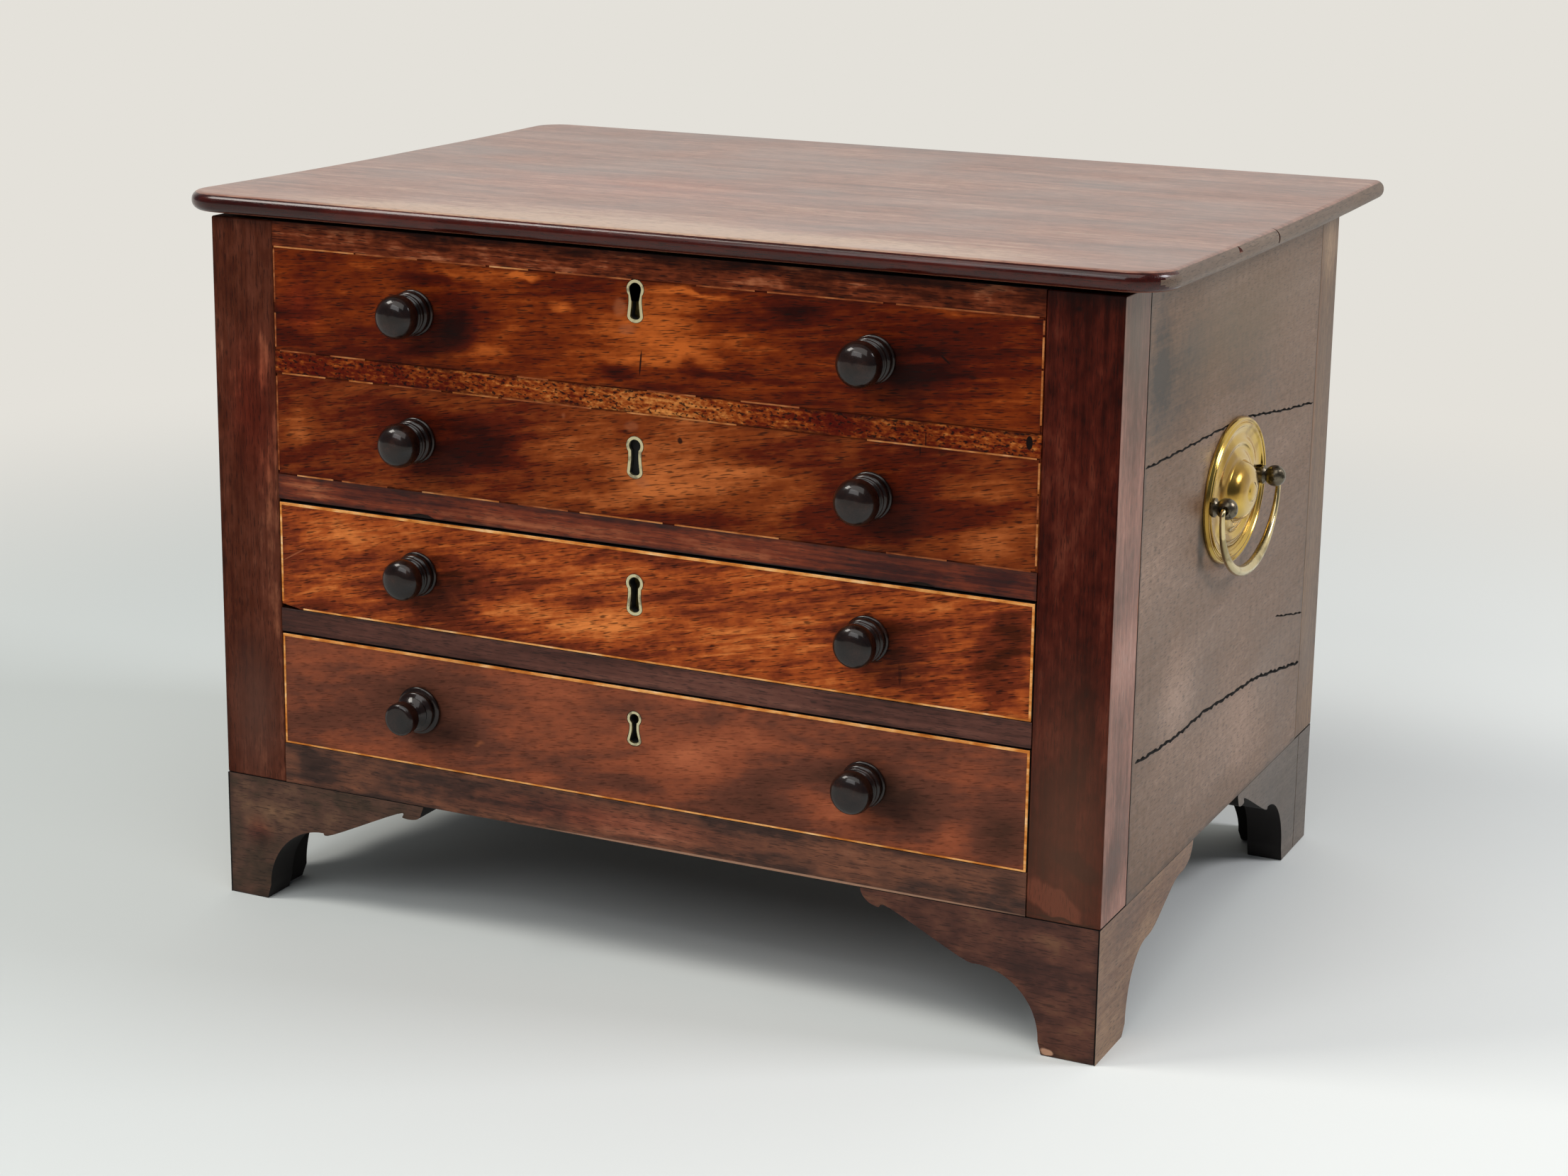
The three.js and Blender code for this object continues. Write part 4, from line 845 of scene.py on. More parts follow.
@dataclass(frozen=True)
class Knobs:
    """The turned knobs, each with its own profile of radius and reach from the board."""

    steps: int = 72

    def ball(self) -> list[Point]:
        """A ball close to a thin and a thick bead, on a flange."""
        return [(0, -0.1), (9.8, -0.1), *arc((9.7, 0.9), (1.0, 0.9), -85, 85, 8), (8.9, 1.95),
                *arc((8.3, 4.1), (2.0, 1.9), -75, 80, 12), (8.4, 6.3),
                *arc((8.75, 7.4), (0.9, 0.85), -80, 80, 8), (8.2, 8.4), (7.8, 9.0),
                *smooth_through([(7.9, 9.2), (9.2, 10.6), (10.05, 13.0), (10.15, 15.2), (9.3, 18.0),
                                 (7.3, 20.2), (4.2, 21.5), (0, 22.0)], 4)]

    def flat(self) -> list[Point]:
        """A flattened ball close to a thin and a thick bead, on a flange."""
        return [(0, -0.1), (9.7, -0.1), *arc((9.6, 0.9), (1.0, 0.9), -85, 85, 8), (8.8, 1.95),
                *arc((8.25, 4.0), (1.75, 1.8), -75, 80, 12), (8.0, 6.0),
                *arc((8.35, 6.9), (0.85, 0.75), -80, 80, 8), (7.7, 7.9), (7.4, 8.4),
                *smooth_through([(7.5, 8.6), (8.8, 9.9), (9.65, 12.0), (9.7, 14.0), (8.9, 16.4),
                                 (6.9, 18.1), (3.9, 19.1), (0, 19.4)], 4)]

    def button(self) -> list[Point]:
        """A small button on a deep stepped base."""
        return [(0, -0.1), (10.6, -0.1), *arc((10.3, 1.1), (1.1, 1.0), -80, 85, 8), (9.3, 2.4),
                *arc((8.4, 3.9), (1.3, 1.5), -70, 80, 8), (7.5, 6.0), (7.9, 7.2), (6.2, 8.6),
                *arc((6.5, 10.6), (1.3, 1.4), 240, 130, 6),
                *arc((6.4, 14.2), (1.4, 2.2), -70, 0, 6), *arc((5.2, 17.2), (2.6, 2.3), 0, 80, 8), (0, 19.8)]

    def build(self) -> None:
        """Builds all eight."""
        for row, body, left, right in (
                ("upper_sham", "carcass", self.ball, self.ball),
                ("lower_sham", "carcass", self.ball, self.ball),
                ("upper_drawer", "upper_drawer", self.flat, self.flat),
                ("lower_drawer", "lower_drawer", self.button, self.flat)):
            for side, profile in (("left", left), ("right", right)):
                node = f"{row}_{side}_knob"
                box = Box.of(node)
                face = Box.of("well_front").low.y
                shape = Shape.turned(profile(), (0, -1, 0), self.steps)
                shape.moved(box.middle.x, face, box.middle.z)
                shape.place(f"{node}_turned", body, "ebonised_wood", EBONISED, stands_for=[node], angle=50)


@dataclass(frozen=True)
class KeyPlate:
    """A brass keyhole plate: its height and half widths, and the width of its rim."""

    height: float = 19.2
    head: float = 4.3
    waist: float = 3.3
    foot: float = 3.9
    rim: float = 1.45
    thickness: float = 1.2
    proud: float = 0.1

    def outline(self, grow: float, steps: int = 18) -> list[Point]:
        """The key-shaped outline about its middle, grown or shrunk."""
        head, waist, foot = self.head + grow, self.waist + grow, self.foot + grow
        top = self.height / 2 + grow
        neck = math.degrees(math.acos(waist / head))
        low = -0.34 * self.height
        shape = arc((0, top - head), (head, head), -neck, 180 + neck, steps)
        left = smooth_through([shape[-1], (-waist, -0.06 * self.height), (-foot, low)], 4)
        bottom = arc((0, low), (foot, low + top), 180, 360, steps)
        right = smooth_through([(foot, low), (waist, -0.06 * self.height), shape[0]], 4)
        return [*shape, *left[1:-1], *bottom, *right[1:-1]]

    def prism(self, grow: float, x: float, z: float, low: float, high: float) -> Shape:
        """The outline given its thickness at its place on the front."""
        return Shape.prism(self.outline(grow), Face.FRONT, low, high).moved(x, 0, z)

    def cutters(self, node: str, depth: float) -> list[Shape]:
        """The recess and the hole that a board needs for the plate."""
        box = Box.of(node)
        face = box.low.y
        return [self.prism(0.22, box.middle.x, box.middle.z, face - 1, face + self.thickness + 0.15),
                self.prism(-self.rim, box.middle.x, box.middle.z, face - 1, face + depth)]

    def build(self, node: str, body: str) -> None:
        """Builds the plate in the place of its CAD node."""
        box = Box.of(node)
        face = box.low.y
        shape = self.prism(0, box.middle.x, box.middle.z, face - self.proud, face + self.thickness)
        shape.carve(self.prism(-self.rim, box.middle.x, box.middle.z, face - 2, face + 4))
        shape.bevel(lambda a, b: a.y < face and b.y < face and abs(a.y - b.y) < 0.01, 0.25, 2)
        shape.place(f"{node}_plate", body, "escutcheon_brass", PALE_BRASS, stands_for=[node])


PLAIN_KEY = KeyPlate()
FLARED_KEY = KeyPlate(height=16.4, head=3.6, waist=2.5, foot=3.6, rim=1.3)


def in_keyhole(middle: Vector, face: float) -> bool:
    """Whether a face of a board lies inside its keyhole, behind the plate."""
    return abs(middle.x) < 5.5 and face + 1.0 < middle.y < face + 11.5


@dataclass(frozen=True)
class Line:
    """A surviving piece of an inlaid line, from start to end along its side, and whether it is bright."""

    start: float
    end: float
    bright: bool = True


class Stringing:
    """The inlaid lines round one front."""

    def __init__(self, name: str, body: str, face: float, finish: Wood) -> None:
        self.name, self.body = name, body
        self.face, self.finish = face, finish
        self.bright, self.worn = Shape(), Shape()

    def across(self, z: Point, lines: Iterable[Line], proud: float = 0.05, deep: float = 0.5) -> None:
        """Lays level lines between two heights."""
        for line in lines:
            shape = self.bright if line.bright else self.worn
            shape.add_block((line.start, self.face - proud, z[0]), (line.end, self.face + deep, z[1]))

    def upright(self, x: Point, lines: Iterable[Line], proud: float = 0.05, deep: float = 0.5) -> None:
        """Lays upright lines between two places along the front."""
        for line in lines:
            shape = self.bright if line.bright else self.worn
            shape.add_block((x[0], self.face - proud, line.start), (x[1], self.face + deep, line.end))

    def build(self) -> None:
        """Finishes the lines."""
        for shape, kind, finish in ((self.bright, "line", self.finish),
                                    (self.worn, "worn_line", WORN_BOXWOOD)):
            if shape.mesh.verts:
                shape.place(f"{self.name}_{kind}", self.body, "mahogany_figured", finish)


@dataclass(frozen=True)
class ShamFronts:
    """The board in front of the well, with two sham drawer fronts marked out by inlaid lines."""

    band_top: float = 215.0
    lower_top: float = 264.0
    rail_top: float = 274.0
    upper_top: float = 323.5
    half: float = 190.7
    line: float = 0.7
    groove: float = 0.4
    chips: tuple[tuple[Point, ...], ...] = (
        ((-192, 201), (-192, 203.3), (-150, 203.2), (-60, 203.1), (60, 203.1), (150, 202.9), (192, 202.9),
         (192, 201)),
        ((-125, 201), (-124, 203.2), (-118, 203.8), (-113, 204.9), (-108, 204.6), (-105, 203.4),
         (-103, 201)),
        ((130, 201), (132, 203.4), (137, 204.5), (142, 204.2), (145, 203.2), (146, 201)))

    def build(self) -> None:
        """Builds the board and its lines."""
        box = Box.of("well_front")
        face = box.low.y
        board = Shape.of_node("well_front")
        cutters = [*PLAIN_KEY.cutters("upper_sham_escutcheon", 10.0),
                   *PLAIN_KEY.cutters("lower_sham_escutcheon", 2.6)]
        for low, high in ((self.band_top, self.lower_top), (self.rail_top, self.upper_top)):
            for z in (low, high - self.line):
                cutters.append(Shape.block((-self.half, face - 1, z),
                                           (self.half, face + self.groove, z + self.line)))
            for x in (-self.half - 1, self.half - self.line):
                cutters.append(Shape.block((x, face - 1, low),
                                           (x + self.line + 1, face + self.groove, high)))
        for chip in self.chips:
            cutters.append(Shape.prism(chip, Face.FRONT, face - 1, face + 1.6))
        board.carve(*cutters)
        board.slice(2, (self.band_top + 0.01, self.lower_top - 0.01,
                        self.rail_top + 0.01, self.upper_top - 0.01))

        def zone(middle: Vector, _normal: Vector) -> int:
            """The number of the finish at a height, with painted shade in the keyhole and in the gap and the
            chips along the lower edge.
            """
            if in_keyhole(middle, face):
                return 5
            if middle.z < 206 and middle.y > face + 0.3:
                return 6
            tops = (self.band_top, self.lower_top, self.rail_top, self.upper_top)
            return sum(middle.z > top for top in tops)

        board.place("well_front_board", "carcass", "mahogany_figured", BAND, LOWER_SHAM, SHAM_RAIL,
                    UPPER_SHAM, TOP_BAND, HOLE_SHADE, GAP_SHADE, stands_for=["well_front"], choose=zone)
        self.build_upper_lines(face)
        self.build_lower_lines(face)
        for row in ("upper", "lower"):
            PLAIN_KEY.build(f"{row}_sham_escutcheon", "carcass")

    def build_upper_lines(self, face: float) -> None:
        """The few pieces of line left round the upper front."""
        lines = Stringing("upper_sham", "carcass", face, FADED_BOXWOOD)
        top = (self.upper_top - self.line, self.upper_top)
        low = (self.rail_top, self.rail_top + self.line)
        lines.across(top, [Line(-190, -146), Line(-145, -112, False), Line(-104, -76, False), Line(-74, -54),
                           Line(-40, -2, False), Line(30, 58, False), Line(64, 118, False),
                           Line(124, 188, False)])
        lines.across(low, [Line(-188, -168, False), Line(-160, -141, False), Line(-60, -44, False),
                           Line(6, 30, False), Line(52, 80, False)])
        lines.upright((-190.6, -189.8), [Line(276, 292, False), Line(297, 322, False)])
        lines.upright((189.8, 190.6), [Line(278, 301), Line(302, 315), Line(316, 322, False)])
        lines.build()

    def build_lower_lines(self, face: float) -> None:
        """The pieces of line left round the lower front."""
        lines = Stringing("lower_sham", "carcass", face, FADED_BOXWOOD)
        top = (self.lower_top - self.line, self.lower_top)
        low = (self.band_top, self.band_top + self.line)
        lines.across(top, [Line(-187, -163), Line(-150, -137), Line(-128, -100, False), Line(-94, -70),
                           Line(-68, -22, False), Line(-4, 50), Line(112, 189)])
        lines.across(low, [Line(-180, -160), Line(-155, -130, False), Line(-111, -70), Line(-60, -34, False),
                           Line(-28, 14), Line(20, 71), Line(122, 150, False), Line(163, 188, False)])
        lines.upright((-190.6, -189.8), [Line(217, 262, False)])
        lines.upright((189.8, 190.6), [Line(218, 236), Line(238, 248, False), Line(249, 262)])
        lines.build()


@dataclass(frozen=True)
class Drawer:
    """A real drawer: its dressed front with a line along every edge, and its bare inside."""

    name: str
    key: KeyPlate
    finish: Wood
    top_line: float = 1.3
    side_line: float = 1.1
    low_line: float = 0.9
    cut_corner: bool = False

    def build(self) -> None:
        """Builds the front and dresses the rest."""
        node = f"{self.name}_front"
        box = Box.of(node)
        board = Shape.of_node(node)
        cutters = self.key.cutters(f"{self.name}_escutcheon", 10.0)
        if self.cut_corner:
            x, z, y = box.low.x, box.low.z, box.low.y
            chip = [(x - 1, z - 1), (x - 1, z + 2.2), (x + 1.2, z + 1.9), (x + 4.5, z + 1.3),
                    (x + 9, z + 0.6), (x + 12, z - 1)]
            cutters.append(Shape.prism(chip, Face.FRONT, y - 1, y + 4.0))
        board.carve(*cutters).soften(0.35, 2)

        def zone(middle: Vector, normal: Vector) -> int:
            """The number of the finish: painted shade in the keyhole and on the edges that meet the gaps."""
            if in_keyhole(middle, box.low.y):
                return 1
            return 2 if max(abs(normal.x), abs(normal.z)) > 0.9 and middle.y < box.high.y - 1 else 0

        board.place(f"{node}_board", self.name, "mahogany_figured", self.finish, HOLE_SHADE, GAP_SHADE,
                    stands_for=[node], choose=zone)
        self.build_lines(box)
        self.key.build(f"{self.name}_escutcheon", self.name)
        for part in ("left_side", "right_side", "back", "bottom"):
            dress(f"{self.name}_{part}", DEAL)
        dress(f"{self.name}_lock_case", DULL_BRASS)
        dress(f"{self.name}_lock_bolt", IRON)

    def build_lines(self, box: Box) -> None:
        """Lays the four lines."""
        low, high, face = box.low, box.high, box.low.y
        lines = Stringing(self.name, self.name, face, BOXWOOD)
        start = low.x + (12 if self.cut_corner else 0)
        lines.across((high.z - self.top_line, high.z), [Line(low.x, high.x)])
        lines.across((low.z, low.z + self.low_line), [Line(start, high.x)])
        foot, top = low.z + self.low_line, high.z - self.top_line
        lines.upright((low.x, low.x + self.side_line), [Line(foot + (2.2 if self.cut_corner else 0), top)])
        lines.upright((high.x - self.side_line, high.x), [Line(foot, top)])
        lines.bright.soften(0.2, 2)
        lines.build()


class Crack:
    """A split in a board of the right side, along points of depth and height."""

    def __init__(self, points: Sequence[Point], width: float, deep: float, face: float) -> None:
        self.points, self.width, self.deep, self.face = points, width, deep, face

    def cutter(self) -> Shape:
        """A wedge that follows the split and narrows to its ends."""
        shape = Shape()
        path = self.points
        rings = []
        for i, (y, z) in enumerate(path):
            share = 0.25 if i in (0, len(path) - 1) else 0.75 + 0.25 * math.sin(2.7 * i)
            half = self.width * share / 2
            rings.append([shape.mesh.verts.new((self.face + 1, y, z - 2 * half)),
                          shape.mesh.verts.new((self.face + 1, y, z + 2 * half)),
                          shape.mesh.verts.new((self.face - self.deep * share, y, z))])
        for one, two in zip(rings, rings[1:]):
            for k in range(3):
                shape.mesh.faces.new((one[k], one[(k + 1) % 3], two[(k + 1) % 3], two[k]))
        shape.mesh.faces.new(rings[0][::-1])
        shape.mesh.faces.new(rings[-1])
        bmesh.ops.recalc_face_normals(shape.mesh, faces=shape.mesh.faces)
        return shape


def wander(points: Sequence[Point], step: float, drift: float) -> list[Point]:
    """Points along a path every few millimetres, each a little off it."""
    result = []
    for (y0, z0), (y1, z1) in zip(points, points[1:]):
        count = max(int(abs(y1 - y0) / step), 1)
        for i in range(count):
            t = i / count
            k = len(result)
            off = drift * math.sin(k * 1.9) * math.cos(k * 0.7)
            result.append((y0 + (y1 - y0) * t, z0 + (z1 - z0) * t + off))
    return [*result, points[-1]]


@dataclass(frozen=True)
class Carcass:
    """The frame, rails and panels of the case."""

    softness: float = 0.9

    def build(self) -> None:
        """Builds the visible boards and dresses the rest."""
        for side in ("left", "right"):
            finish = LEFT_STILE if side == "left" else RIGHT_STILE
            post = Shape.of_node(f"{side}_front_post").soften(self.softness)
            outer = Box.of(f"{side}_front_post")
            edge = outer.high.x if side == "right" else outer.low.x

            def choose(middle: Vector, _normal: Vector, edge: float = edge) -> int:
                """The side face has the side's finish."""
                return int(abs(middle.x - edge) < 0.1)

            post.place(f"{side}_front_stile", "carcass", "mahogany_frame", finish, FRONT_STRIP,
                       stands_for=[f"{side}_front_post"], choose=choose)
            rear = Shape.of_node(f"{side}_rear_post").soften(self.softness)
            rear.place(f"{side}_rear_stile", "carcass", "mahogany_side", REAR_STRIP,
                       stands_for=[f"{side}_rear_post"])
        self.build_side_panels()
        for node, finish in (("drawer_rail", DRAWER_RAIL), ("bottom_rail", BOTTOM_RAIL)):
            board = Shape.of_node(node)
            face = Box.of(node).low.y + 0.02
            board.bevel(lambda a, b: a.y < face and b.y < face and abs(a.z - b.z) < 0.01, 0.4, 2)
            board.place(f"{node}_board", "carcass", "mahogany_frame", finish, stands_for=[node])
        back = Shape.of_node("back_panel").soften(0.5)
        back.place("back_board", "carcass", "deal", DEAL_BACK, stands_for=["back_panel"])
        for node in ("left_upper_runner", "right_upper_runner", "well_floor"):
            dress(node, DEAL)
        dress("bottom_board", DEAL_UNDER)
        dress("lid_lock_case", DULL_BRASS)
        dress("lid_lock_bolt", IRON)

    def build_side_panels(self) -> None:
        """The left panel is sound and the right one has split."""
        box = Box.of("right_side_panel")
        face = box.high.x
        cracks = [
            Crack(wander([(-126.9, 256.6), (-70, 255), (-24, 254), (25, 251.5), (86, 243.6), (134, 238.6)],
                         3.5, 0.5), 1.0, 3.5, face),
            Crack(wander([(-124, 125.8), (-96, 123.5), (-64, 121.6), (-28, 122), (11, 119), (56, 116),
                          (87, 111), (134, 103.5)], 3.3, 0.6), 1.35, 5.0, face),
            Crack(wander([(86, 139.5), (115, 133.5), (134.6, 129.5)], 3.5, 0.4), 0.9, 2.5, face)]
        right = Shape.of_node("right_side_panel").carve(*(crack.cutter() for crack in cracks))

        def inside(middle: Vector, normal: Vector) -> int:
            """1 on the walls of the cracks and on the board's edges, which get the painted shade."""
            return int(face - 6 < middle.x < face - 0.05 and abs(normal.x) < 0.99)

        right.place("right_side_board", "carcass", "mahogany_side", RIGHT_SIDE, HOLE_SHADE,
                    stands_for=["right_side_panel"], choose=inside)
        left = Shape.of_node("left_side_panel")
        left.place("left_side_board", "carcass", "mahogany_side", LEFT_SIDE, stands_for=["left_side_panel"])


@dataclass(frozen=True)
class Bracket:
    """The outline of a bracket foot as shares of its length and height."""

    leg: float
    arc_start: Point
    arc_end: Point
    tail: tuple[Point, ...]

    def outline(self, length: float, height: float) -> list[Point]:
        """Points away from the corner and up from the floor, in millimetres."""
        start = (self.arc_start[0] * length, self.arc_start[1] * height)
        end = (self.arc_end[0] * length, self.arc_end[1] * height)
        curve = [(end[0] - (end[0] - start[0]) * math.cos(t), start[1] + (end[1] - start[1]) * math.sin(t))
                 for t in (math.pi / 2 * i / 28 for i in range(29))]
        tail = smooth_through([end, *((u * length, v * height) for u, v in self.tail)], 5)
        return [(0, 0), (self.leg * length, 0), *curve, *tail[1:], (length, height), (0, height)]


@dataclass(frozen=True)
class Feet:
    """The bracket feet."""

    crisp: Bracket = Bracket(0.19, (0.21, 0.12), (0.49, 0.635), (
        (0.54, 0.637), (0.87, 0.908), (0.895, 0.884), (0.94, 0.88), (0.975, 0.9), (0.99, 0.95)))
    worn: Bracket = Bracket(0.22, (0.235, 0.1), (0.5, 0.59), (
        (0.57, 0.62), (0.87, 0.885), (0.92, 0.878), (0.96, 0.9), (0.985, 0.94), (0.995, 0.97)))
    long: Bracket = Bracket(0.27, (0.3, 0.08), (0.5, 0.59), (
        (0.59, 0.62), (0.8, 0.81), (0.9, 0.83), (0.96, 0.87), (0.985, 0.92), (0.995, 0.96)))
    plain: Bracket = Bracket(0.3, (0.32, 0.08), (0.56, 0.5), (
        (0.62, 0.52), (0.95, 0.86), (0.96, 0.87), (0.97, 0.88), (0.98, 0.9), (0.99, 0.94)))

    def build(self) -> None:
        """Builds the eight brackets."""
        for side, sign in (("left", -1), ("right", 1)):
            self.build_across(side, sign, "front_foot_front", self.crisp if sign < 0 else self.worn,
                              LEFT_FOOT if sign < 0 else RIGHT_FOOT)
            self.build_across(side, sign, "rear_foot_back", self.plain, REAR_FOOT)
            self.build_along(side, sign, "front_foot_side", self.long, SIDE_FOOT)
            self.build_along(side, sign, "rear_foot_side", self.crisp, REAR_FOOT)

    def finish(self, shape: Shape, side: str, part: str, wood: Wood, inward: Corner) -> None:
        """Rounds a bracket's outer edges and places it, with painted shade on its sawn edges and its inner
        face.
        """
        node = f"{side}_{part}"
        outward = 1 if side == "right" else -1
        floor = shape.limits()[0].z + 0.01
        shape.bevel(lambda a, b: (a.z < floor and b.z < floor)
                    or (abs(a.z - b.z) > 8 and (a - b).xy.length < 0.1), 0.7, 3)
        slot = "deal" if part == "rear_foot_back" else "mahogany_frame"

        def unpolished_and_shaded(_middle: Vector, normal: Vector) -> int:
            """1 on the faces that don't look outwards, which get the painted shade."""
            return int(normal.dot(Vector(inward)) > -0.35 and normal.x * outward < 0.5)

        shape.place(f"{node}_bracket", "carcass", slot, wood, BARE_AND_SHADED_INSIDE, stands_for=[node], angle=30,
                    choose=unpolished_and_shaded)

    def build_across(self, side: str, sign: int, part: str, bracket: Bracket, wood: Wood) -> None:
        """A bracket along the front or the back."""
        box = Box.of(f"{side}_{part}")
        corner = box.high.x if sign > 0 else box.low.x
        length, height = box.high.x - box.low.x, box.high.z - box.low.z
        points = [(corner - sign * u, v) for u, v in bracket.outline(length, height)]
        shape = Shape.prism(points, Face.FRONT, box.low.y, box.high.y)
        if part == "front_foot_front":
            shape.trim((corner - sign * 0.1, box.low.y, 0), (sign, 1, 0))
        self.finish(shape, side, part, wood, (0, 1 if part == "front_foot_front" else -1, 0))

    def build_along(self, side: str, sign: int, part: str, bracket: Bracket, wood: Wood) -> None:
        """A bracket along the side."""
        box = Box.of(f"{side}_{part}")
        length, height = box.high.y - box.low.y, box.high.z - box.low.z
        front = part == "front_foot_side"
        points = [(box.low.y + u if front else box.high.y - u, v)
                  for u, v in bracket.outline(length, height)]
        shape = Shape.prism(points, Face.SIDE, box.low.x, box.high.x)
        if front:
            corner = box.high.x if sign > 0 else box.low.x
            shape.trim((corner, box.low.y, 0), (-sign, -1, 0))
        self.finish(shape, side, part, wood, (-sign, 0, 0))


@dataclass(frozen=True)
class Lid:
    """The hinged top, cupped from front to back, with rounded edges."""

    thickness: float = 9.0
    cup: float = 1.5
    front_radius: float = 22.0
    left_back_radius: float = 18.0
    right_back_radius: float = 5.0
    edge: float = 4.25

    def build(self) -> None:
        """Builds the board and dresses its fittings."""
        box = Box.of("lid_board")
        low, high = box.low, box.high
        shape = Shape.block(low, (high.x, high.y, low.z + self.thickness))

        def upright(start: Vector, end: Vector) -> bool:
            """Whether an edge stands up."""
            return abs(start.z - end.z) > 5

        shape.bevel(lambda a, b: upright(a, b) and a.y < 0, self.front_radius, 14)
        back = high.y - 0.01
        shape.bevel(lambda a, b: upright(a, b) and a.y > back and a.x > 0, self.right_back_radius, 6)
        shape.bevel(lambda a, b: upright(a, b) and a.y > back and a.x < -230, self.left_back_radius, 10)
        shape.bevel(lambda a, b: abs(a.z - b.z) < 0.01, self.edge, 8)
        middle, half = box.middle.y, (high.y - low.y) / 2
        shape.slice(1, [middle + half * 0.8 * (i / 10 - 1) for i in range(21)])
        shape.displace(lambda co: co + Vector((0, 0, self.cup * ((co.y - middle) / half) ** 2)))
        shape.carve(*self.seats(box), *self.wounds(box))

        def zone(_middle: Vector, normal: Vector) -> int:
            """The number of the finish by the way that a face looks."""
            if normal.z > 0.85 or normal.z < -0.85:
                return 0 if normal.z > 0 else 2
            return 3 if normal.x > 0.8 or normal.x > 0.3 and abs(normal.y) < 0.05 else 1

        shape.place("lid_top", "lid", "mahogany_top", LID, LID_EDGE, LID_UNDER, LID_SIDE,
                    stands_for=["lid_board"], angle=42, choose=zone)
        for side in ("left", "right"):
            dress(f"{side}_hinge_case_leaf", DULL_BRASS)
            dress(f"{side}_hinge_lid_leaf", DULL_BRASS)
        dress("lid_link_plate", DULL_BRASS)

    def seats(self, box: Box) -> list[Shape]:
        """The recesses under the board for the hinges and the link plate."""
        cutters = []
        for side in ("left", "right"):
            leaf, fixed = Box.of(f"{side}_hinge_lid_leaf"), Box.of(f"{side}_hinge_case_leaf")
            axis_y, axis_z = fixed.high.y - 3.0, fixed.high.z - 3.0
            cutters.append(Shape.block((leaf.low.x - 0.3, leaf.low.y - 0.3, box.low.z - 3),
                                       (leaf.high.x + 0.3, axis_y, axis_z + 2.35)))
            gain = Shape.turned([(0, 0), (3.4, 0), (3.4, leaf.high.x - leaf.low.x + 0.6),
                                 (0, leaf.high.x - leaf.low.x + 0.6)], (1, 0, 0), 32)
            cutters.append(gain.moved(leaf.low.x - 0.3, axis_y, axis_z))
        plate = Box.of("lid_link_plate")
        cutters.append(Shape.block((plate.low.x - 0.3, plate.low.y - 0.3, box.low.z - 3),
                                   (plate.high.x + 0.3, plate.high.y + 0.3, plate.high.z + 0.1)))
        return cutters

    def wounds(self, box: Box) -> list[Shape]:
        """A nick and the end of a split in the right edge."""
        x, top = box.high.x, box.low.z + self.thickness + 1.5
        nick = [(x - 2.2, -63), (x + 1, -66.5), (x + 1, -59)]
        split = [(x - 5, -4.9), (x + 1, -5.8), (x + 1, -3.9)]
        return [Shape.prism(nick, Face.TOP, top - 4.5, top + 2),
                Shape.prism(split, Face.TOP, top - 8, top + 2)]


